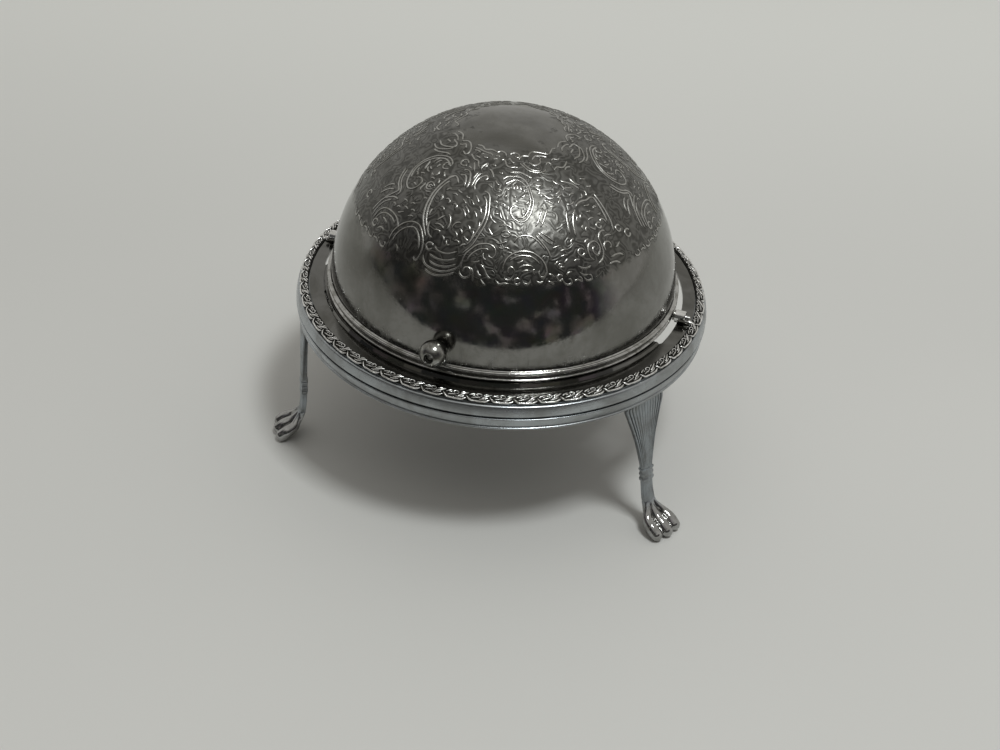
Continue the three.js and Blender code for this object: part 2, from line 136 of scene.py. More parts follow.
class Finish:
    """One material: its nodes, and places on the piece in millimetres from the ring's axis."""

    def __init__(self, name, **sockets):
        self.material = bpy.data.materials.new(name)
        self.material.use_nodes = True
        self.tree = self.material.node_tree
        self.shader = self.tree.nodes["Principled BSDF"]
        self.set(**sockets)
        middle = (-RING_MIDDLE.x * 1000, -RING_MIDDLE.y * 1000, 0)
        place = self.add("TexCoord", output="Object")
        self.place = self.add("Mapping", inputs={"Vector": place, "Scale": (1000,) * 3, "Location": middle})

    def set(self, **sockets):
        for name, value in sockets.items():
            put(self.shader.inputs[name.replace("_", " ")], value)

    def add(self, kind, settings=None, inputs=None, output=0):
        return Wire(new_node(self.tree, kind, settings, inputs).outputs[output])

    def axes(self):
        """x, y and z in millimetres."""
        return [Wire(output) for output in new_node(self.tree, "SeparateXYZ", inputs={0: self.place}).outputs]

    def from_pivot(self):
        """Distance from the middle of the dome in millimetres."""
        away = self.add("VectorMath", {"operation": "SUBTRACT"}, {0: self.place, 1: (0, 0, PIVOT)})
        return self.add("VectorMath", {"operation": "LENGTH"}, {0: away}, "Value")

    def stretched(self, x, y, z):
        """Places for a pattern that is drawn out along the axes with small numbers."""
        return self.add("VectorMath", {"operation": "MULTIPLY"}, {0: self.place, 1: (x, y, z)})

    def noise(self, size, detail=4.0, roughness=0.6, distortion=0.0, at=None):
        """Cloudy variation, about 0.5 in the middle; size in millimetres."""
        return self.add("TexNoise", inputs={
            "Vector": at or self.place, "Scale": 1 / size, "Detail": detail,
            "Roughness": roughness, "Distortion": distortion,
        })

    def specks(self, size):
        """Distance to the nearest of scattered points, in cells."""
        return self.add("TexVoronoi", inputs={"Vector": self.place, "Scale": 1 / size})

    def blend(self, mask, first, second):
        """The first colour, and the second where the mask is 1."""
        return self.add("Mix", {"data_type": "RGBA"}, {0: mask, 6: first, 7: second}, 2)

    def bump(self, height, depth):
        """Height from 0 to 1 over a depth in millimetres. It ends the material."""
        normal = self.add("Bump", inputs={"Height": height, "Distance": depth / 1000, "Strength": 1.0})
        self.set(Normal=normal)
        return self.material


def grey(value, warm=0.0):
    """A grey that leans to olive as warm grows."""
    return (value * (1 + 0.3 * warm), value, value * (1 - 1.6 * warm), 1)


DOME_LIGHT = grey(0.235, 0.03)
DOME_DARK = grey(0.16, 0.05)


def dome_silver():
    """Polished, tarnished plate. Where it is engraved, fine worn scrolls fill the ground."""
    finish = Finish("dome_silver", Metallic=1.0)
    z = finish.axes()[2]
    clouds = finish.noise(26, 6, 0.62, 0.6).above(0.38, 0.68)
    fine = finish.noise(3.2, 5, 0.7).above(0.42, 0.7)
    low = 1 - z.above(PIVOT + 2, PIVOT + 16)
    spread = 0.7 * finish.noise(18, 3).above(0.45, 0.62) + 0.5 * low
    dust = finish.noise(1.1, 3, 0.8).above(0.6, 0.72) * spread
    streaks = finish.noise(5, 5, 0.65, at=finish.stretched(1, 1, 0.12)).above(0.5, 0.75)
    edge = z + 9 * finish.noise(5, 2) - 2.5
    engraved = edge.above(PIVOT + 34, PIVOT + 37) * (1 - edge.above(PIVOT + 65.5, PIVOT + 67))
    scrolls = finish.noise(5, 1, 0.4, 0.6).waves(6)
    colour = finish.blend(clouds, DOME_LIGHT, DOME_DARK)
    colour = finish.blend(fine * 0.45, colour, grey(0.17, 0.06))
    colour = finish.blend(engraved * (0.72 - 0.45 * scrolls), colour, grey(0.035, 0.08))
    colour = finish.blend(dust * 0.4, colour, grey(0.45))
    rough = 0.06 + 0.22 * engraved + 0.07 * clouds + 0.08 * fine + 0.05 * streaks
    rough = rough + low * (0.06 + 0.2 * streaks) + 0.25 * dust
    finish.set(Base_Color=colour, Roughness=rough)
    pits = 1 - finish.specks(1.6).above(0.04, 0.2)
    return finish.bump(finish.noise(14, 2, 0.5) + scrolls * engraved + fine * 0.1 - pits * 0.1, 0.055)


def ridge_silver():
    """The engraving's raised lines: worn bright on top, with painted shade along their feet."""
    finish = Finish("ridge_silver", Metallic=1.0)
    height = finish.from_pivot() - DOME_RADIUS
    wear = finish.noise(3.2, 5, 0.7).above(0.4, 0.7)
    top = height.above(0.03, 0.15)
    # Painted shade: the feet of each ridge, where it meets the dome, are near black.
    colour = finish.blend(top, grey(0.05, 0.08), finish.blend(wear, grey(0.46, 0.03), grey(0.27, 0.06)))
    finish.set(Base_Color=colour, Roughness=0.42 - 0.2 * top)
    return finish.bump(finish.noise(0.7, 2, 0.5), 0.03)


def worn_metal(name, light, dark, patches, edges, rough, grain, relief):
    """Metal that patches turn from light to dark and from glossy to dull, with a fine grain.

    patches and grain are noise, edges is where the patches begin and are full, and rough is the gloss
    of the light part and what the patches add to it.
    """
    finish = Finish(name, Metallic=1.0)
    worn = finish.noise(*patches).above(*edges)
    finish.set(Base_Color=finish.blend(worn, light, dark), Roughness=rough[0] + rough[1] * worn)
    return finish.bump(finish.noise(*grain), relief)


def satin_silver(name, light, dark, rough, relief):
    """Turned plate with faint lines round it, clouded and spotted with age."""
    finish = Finish(name, Metallic=1.0)
    x, y, z = finish.axes()
    radius = (x * x + y * y) ** 0.5
    lathe = finish.add("CombineXYZ", inputs={0: radius * 3.0, 1: z * 3.0, 2: x * 0.06})
    lines = finish.noise(1, 3, 0.7, at=lathe)
    clouds = finish.noise(20, 5, 0.65, 0.8).above(0.35, 0.7)
    spots = finish.noise(1.3, 4, 0.75).above(0.6, 0.74)
    colour = finish.blend(clouds, light, dark)
    colour = finish.blend(lines.above(0.5, 0.8) * 0.5, colour, dark)
    colour = finish.blend(spots * 0.7, colour, grey(0.1, 0.05))
    finish.set(Base_Color=colour, Roughness=rough + 0.1 * clouds + 0.08 * lines + 0.15 * spots)
    return finish.bump(lines * 0.8 + finish.noise(0.7, 3) * 0.4 - spots * 0.4, relief)


def leg_silver():
    """Dull bluish cast metal, with painted shade as dark lines in the flutes."""
    finish = Finish("leg_silver", Metallic=1.0)
    flute_shade = finish.add("Attribute", {"attribute_name": "flute_shade"}, output="Fac")
    clouds = finish.noise(7, 5, 0.7, 0.5).above(0.35, 0.7)
    streaks = finish.noise(1.2, 4, 0.7, at=finish.stretched(1, 1, 0.1)).above(0.45, 0.7)
    grime = finish.noise(1.5, 4, 0.75).above(0.58, 0.72)
    colour = finish.blend(clouds, (0.36, 0.39, 0.415, 1), (0.26, 0.27, 0.27, 1))
    colour = finish.blend(streaks * 0.45, colour, grey(0.16, 0.03))
    # Painted shade: the flutes are darkened by how deep they are cut.
    colour = finish.blend((flute_shade * 2).above(0, 1.3) * 0.65, colour, grey(0.04, 0.05))
    colour = finish.blend(grime * 0.4, colour, grey(0.1, 0.05))
    finish.set(Base_Color=colour, Roughness=0.3 + 0.08 * clouds + 0.1 * grime)
    return finish.bump(finish.noise(1.2, 4, 0.6) * 0.5 + streaks, 0.06)


def paw_silver():
    """Polished by wear, with grime left where the paw meets the shin."""
    finish = Finish("paw_silver", Metallic=1.0)
    z = finish.axes()[2]
    dull = (z + 3 * finish.noise(4, 3)).above(10, 14)
    clouds = finish.noise(6, 5, 0.7, 0.5).above(0.35, 0.7)
    colour = finish.blend(clouds, grey(0.42, 0.01), grey(0.25, 0.03))
    colour = finish.blend(dull, colour, (0.32, 0.345, 0.365, 1))
    finish.set(Base_Color=colour, Roughness=0.06 + 0.24 * dull + 0.05 * clouds)
    return finish.bump(finish.noise(3, 2, 0.5), 0.01)


def clear_glass():
    """Clear glass with a soft ripple, smeared in places."""
    finish = Finish("clear_glass", Base_Color=(0.93, 0.97, 0.95, 1), IOR=1.5, Transmission_Weight=1.0)
    ripple = finish.noise(9, 2, 0.5)
    smears = finish.noise(12, 4, 0.6).above(0.5, 0.75)
    finish.set(Roughness=0.03 + 0.08 * smears)
    return finish.bump(ripple, 0.15)


def table_top():
    """Matt painted board, made a little paler towards the far side by painted light."""
    finish = Finish("table_top", Specular_IOR_Level=0.3)
    x, y = finish.axes()[:2]
    side = math.radians(CAMERA_SIDE)
    far = (x * -math.cos(side) + y * -math.sin(side)).above(60, 520)
    tone = finish.noise(260, 3, 0.5)
    marks = finish.noise(2.5, 5, 0.7, at=finish.stretched(0.08, 1, 1)).above(0.68, 0.78)
    colour = finish.blend(tone, (0.635, 0.63, 0.605, 1), (0.595, 0.595, 0.57, 1))
    # Painted light: the board gets paler the further it lies from the camera.
    colour = finish.blend(far, colour, (0.78, 0.785, 0.75, 1))
    finish.set(Base_Color=finish.blend(marks * 0.12, colour, grey(0.4)), Roughness=0.55)
    return finish.bump(finish.noise(0.8, 3), 0.02)


SILVER_DOME = dome_silver()
SILVER_RIDGE = ridge_silver()
SILVER_BRIGHT = worn_metal("bright_silver", grey(0.5, 0.02), grey(0.24, 0.06), patches=(4, 5, 0.65),
                           edges=(0.4, 0.7), rough=(0.1, 0.15), grain=(0.9, 3, 0.6), relief=0.03)
SILVER_KNOB = worn_metal("knob_silver", grey(0.3, 0.03), grey(0.13, 0.08), patches=(2.4, 5, 0.7),
                         edges=(0.38, 0.68), rough=(0.13, 0.2), grain=(1.1, 4, 0.65), relief=0.06)
SILVER_BAND = satin_silver("band_silver", (0.43, 0.46, 0.48, 1), (0.28, 0.29, 0.29, 1), 0.2, 0.035)
SILVER_TRAY = satin_silver("tray_silver", grey(0.18, 0.03), grey(0.11, 0.06), 0.02, 0.008)
CAST = {"patches": (2.2, 4, 0.7), "edges": (0.4, 0.68), "grain": (0.6, 3, 0.6), "relief": 0.06}
SILVER_SLEEVE = worn_metal("sleeve_silver", grey(0.8, 0.01), grey(0.6, 0.03), rough=(0.1, 0.14), **CAST)
SILVER_LEAF = worn_metal("leaf_silver", grey(0.9, 0.01), grey(0.5, 0.04), rough=(0.2, 0.14), **CAST)
BORDER_GROUND = worn_metal("border_ground", grey(0.03, 0.08), grey(0.015, 0.08), rough=(0.5, 0.14), **CAST)
SILVER_LEG = leg_silver()
SILVER_PAW = paw_silver()
STEEL = worn_metal("turned_steel", grey(0.5, 0.01), grey(0.2, 0.06), patches=(1.6, 4, 0.7),
                   edges=(0.45, 0.7), rough=(0.25, 0.25), grain=(0.5, 2), relief=0.02)
SOLDER = worn_metal("solder", grey(0.13, 0.03), grey(0.06, 0.06), patches=(1.8, 4, 0.7),
                    edges=(0.4, 0.65), rough=(0.4, 0.2), grain=(1.1, 4, 0.7), relief=0.2)
GLASS = clear_glass()


# Modelling helpers

def finished(shape, name, body, material, replaces=(), sharp=35):
    """Places a shape modelled in millimetres, and makes it a piece that rides on a body.

    replaces names the CAD nodes that the piece stands for, and sharp is the angle from which edges
    stay hard.
    """
    bmesh.ops.transform(shape, matrix=PLACE, verts=shape.verts)
    mesh = bpy.data.meshes.new(name)
    shape.to_mesh(mesh)
    shape.free()
    mesh.materials.append(material)
    mesh.shade_smooth()
    mesh.set_sharp_from_angle(angle=math.radians(sharp))
    piece = bpy.data.objects.new(name, mesh)
    bpy.context.scene.collection.objects.link(piece)
    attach(piece, body)
    if replaces:
        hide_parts(*replaces)


def arc(middle_r, middle_z, radius, start, end, steps):
    """Part of a circle as [radius, height] points, between two angles in degrees."""
    angles = [math.radians(start + (end - start) * i / steps) for i in range(steps + 1)]
    return [(middle_r + radius * math.cos(a), middle_z + radius * math.sin(a)) for a in angles]


def spun(profile, steps, closed=True):
    """Turns [radius, height] points about Z into a closed shape."""
    shape = bmesh.new()
    points = [shape.verts.new((r, 0, z)) for r, z in profile]
    ends = points[1:] + points[:1] if closed else points[1:]
    line = [shape.edges.new(pair) for pair in zip(points, ends)]
    bmesh.ops.spin(shape, geom=points + line, axis=(0, 0, 1), angle=2 * math.pi, steps=steps, use_merge=True)
    bmesh.ops.remove_doubles(shape, verts=shape.verts, dist=1e-4)
    bmesh.ops.recalc_face_normals(shape, faces=shape.faces)
    return shape


def moved(shape, *steps):
    """Takes a shape through some matrices, one after the other."""
    for step in steps:
        bmesh.ops.transform(shape, matrix=step, verts=shape.verts)
    return shape


def raised(shape, height):
    return moved(shape, Matrix.Translation((0, 0, height)))


def block(size, middle):
    """A plain box of a given size about its middle."""
    shape = bmesh.new()
    bmesh.ops.create_cube(shape, size=1)
    return moved(shape, Matrix.Translation(middle) @ Matrix.Diagonal((*size, 1)))


def evaluated(source):
    """The shape that an object's curves or modifiers make. The object is used up."""
    bpy.context.view_layer.update()
    mesh = bpy.data.meshes.new_from_object(source.evaluated_get(bpy.context.evaluated_depsgraph_get()))
    bpy.data.objects.remove(source)
    shape = bmesh.new()
    shape.from_mesh(mesh)
    bpy.data.meshes.remove(mesh)
    return shape


# Engraving
# Strokes run through points of (degrees along, degrees down from the dome's top).

SCROLL_PANEL = [
    [(0, 18.1), (3.3, 17.3), (7.8, 16.9), (11.7, 17), (15.6, 17.7), (18.9, 18.3)],
    [(0, 20.2), (2.2, 19.1), (5.6, 18.7), (11.1, 18.7), (15.6, 19.5)],
    [(10.6, 19.9), (13.9, 20.2), (17.8, 20.2), (20, 20.6), (20.6, 21.6), (19.4, 22.4), (16.7, 23),
     (13.3, 23.8), (9.2, 24.3), (5.6, 24.1), (2.8, 24.1)],
    [(20.9, 21.2), (19.9, 23.1), (16.7, 24.4), (13.3, 25.5), (9.4, 26.1), (5.6, 26.1), (3.6, 25.8)],
    [(9.4, 27), (13.9, 26.6), (17.8, 25.8), (21.7, 24.9), (25, 24.7), (26.7, 24.7)],
    [(5.5, 21.9), (9, 21.6), (13, 21.4)],
    [(19.4, 18.8), (21.1, 18), (24.4, 17.3), (28.3, 17.3), (31.9, 17.9), (35, 18.8), (36.7, 19.9),
     (36.9, 21.1), (35.8, 21.9), (34.2, 21.6), (30.6, 21.1)],
    [(20.6, 19.5), (23.6, 19.8), (25.6, 18.8), (27.8, 18.8), (30, 19.5), (31.4, 19.7)],
    [(34.4, 28), (33.3, 26.6), (30.6, 25.8), (26.7, 25.6), (22.8, 26.2), (19.4, 27.2), (16.7, 28.6),
     (14.7, 30.5), (13.6, 33), (13.9, 35.5), (15.3, 37.7), (17.5, 39.7), (20, 40.8), (22.2, 41.1),
     (24.4, 40.4), (25.8, 39.1), (26.1, 37.4), (25, 36.3), (23.3, 36.2), (21.7, 36.6), (20.6, 37.7)],
    [(33, 28.2), (30.5, 27), (26.7, 26.7), (23.1, 27.3), (20, 28.3), (17.6, 29.6), (15.9, 31.2),
     (15, 33.2), (15.2, 35.2), (16.4, 37), (18.3, 38.6)],
    [(21.7, 38.6), (23.6, 38.7), (24.4, 39.2)],
    [(21.1, 30.8), (20.8, 29.1), (21.7, 28), (22.8, 27.5)],
    [(23.3, 30.5), (23.3, 29.1), (24.2, 28), (25.8, 27.6)],
    [(26.4, 30.8), (26.1, 29.7), (26.7, 28.8)],
    [(25, 31.9), (23.3, 31.9), (21.9, 31.3)],
    [(25.6, 33), (23.3, 33.1), (21.4, 32.4), (20.3, 31.3)],
    [(21.4, 33.7), (20, 33), (19.2, 31.9), (18.1, 30.4), (17, 30.9)],
    [(18.3, 35.2), (17, 34.9), (16.3, 33.8)],
    [(20, 36.9), (19.2, 35.8), (18.1, 35.4), (17.4, 36.2)],
    [(24.2, 34.4), (22.2, 34.5), (21.1, 34.9), (20, 34.4)],
    [(27, 32.4), (27.8, 33.2), (29.5, 32.8)],
    [(29.3, 31), (30.6, 31.3), (30.8, 32.5), (29.8, 33.4)],
    [(31.4, 38.6), (33.3, 38.6), (35.3, 37.7)],
    [(28.5, 34.4), (30.2, 34), (31.5, 34.2)],
    [(33.5, 40.2), (34.5, 40.8), (36, 40.2)],
    [(27.8, 36), (28.6, 37.2), (28.2, 38.8), (29.4, 39.8)],
    [(33, 30.4), (34.6, 31), (35.8, 32.2)],
    [(33.4, 33), (34.8, 33.8), (35.4, 35.2)],
    [(8.6, 36.9), (10, 38.6), (11.7, 40.5), (14.4, 42.2), (17.8, 43.6), (16.7, 45.2), (14.7, 47.4),
     (13.3, 49.7), (12.5, 51.9), (12.2, 54.7)],
    [(10.6, 36.6), (11.7, 38.3), (13.3, 40.2), (15.6, 41.6), (17.8, 42.4), (19.5, 44.2), (18, 46)],
    [(13.9, 43.3), (11.4, 43.8), (9.4, 45.5), (8.1, 47.7)],
    [(15.6, 44.4), (12.8, 45.2), (10.6, 46.9), (8.6, 49.4)],
    [(24.2, 41.6), (22.8, 43)],
    [(25.6, 41.6), (23.9, 43.8)],
    [(27, 41.3), (26, 43.3)],
    [(28.5, 41), (28.1, 43.2)],
    [(30.6, 41.3), (29.8, 43.5)],
    [(32.5, 41.5), (31.7, 43)],
    [(24, 44.6), (26, 44.3), (27.5, 44.9)],
    [(29, 44.8), (30.5, 43.8), (32, 44.2)],
    [(15.6, 56.3), (15.6, 54.1), (16.4, 51.9), (18.3, 50.5), (21.1, 49.9), (24.2, 49.9), (27.2, 50.5),
     (29.4, 51.9), (30.8, 53.6)],
    [(17, 56.5), (17.1, 54.4), (18, 52.7), (20, 51.6), (22.5, 51.2), (25.5, 51.4), (28, 52.6)],
    [(13.9, 48.8), (15.6, 47.4), (17.8, 46.3), (20, 45.8), (22.2, 45.9)],
    [(14.1, 56), (13.9, 53.5), (14.3, 51.2), (15.4, 49.3), (17, 48), (19, 47.2)],
    [(19.9, 48), (21, 47.2), (22.3, 47.7), (21.5, 48.6)],
    [(23.3, 48.2), (24.4, 47.1), (25.3, 47.6)],
    [(25.5, 48.9), (27.3, 48.4), (28.9, 47.4)],
    [(26.5, 46.4), (28.2, 46), (30, 46.6)],
    [(31, 46.2), (32.4, 45.6), (34, 46)],
    [(31.2, 48.4), (32.8, 47.6), (34.6, 47.4)],
    [(19.4, 53.4), (21, 53), (23, 53.3), (24.6, 54.2)],
    [(20.4, 57.4), (21.8, 56), (23.8, 55.8), (25.4, 57)],
    [(26.5, 55.6), (28, 54.8)],
    [(26.8, 57.4), (28.4, 57)],
    [(29.3, 58), (29.2, 54.5), (31.5, 51), (35, 49), (38, 48.7), (39.7, 49.1), (41.6, 50.5), (43.6, 52.7),
     (44.7, 55.2), (44.7, 57.4), (43.8, 58.8), (42.7, 58.6), (42.4, 57.4)],
    [(31, 57.5), (31.2, 54.8), (33, 52.2), (35.6, 50.6), (38, 50.2), (40.2, 51.3), (41.9, 53),
     (43, 54.9), (43.4, 56.4)],
    [(36.3, 58.5), (33.8, 54.4)],
    [(37.1, 58.3), (35.6, 53)],
    [(38, 58.2), (37.8, 52.4)],
    [(38.9, 58.3), (40, 53.4)],
    [(39.7, 58.6), (41.6, 55.2)],
    [(33, 57.2), (34.6, 58.2), (35.2, 59.4)],
]
# Small rings, as (along, down, radius in degrees).
SCROLL_RINGS = [(31.3, 28.4, 1.25), (32.2, 36.6, 1.3), (32.2, 36.6, 0.4), (18, 56, 1.1), (2.4, 52.4, 1.2)]

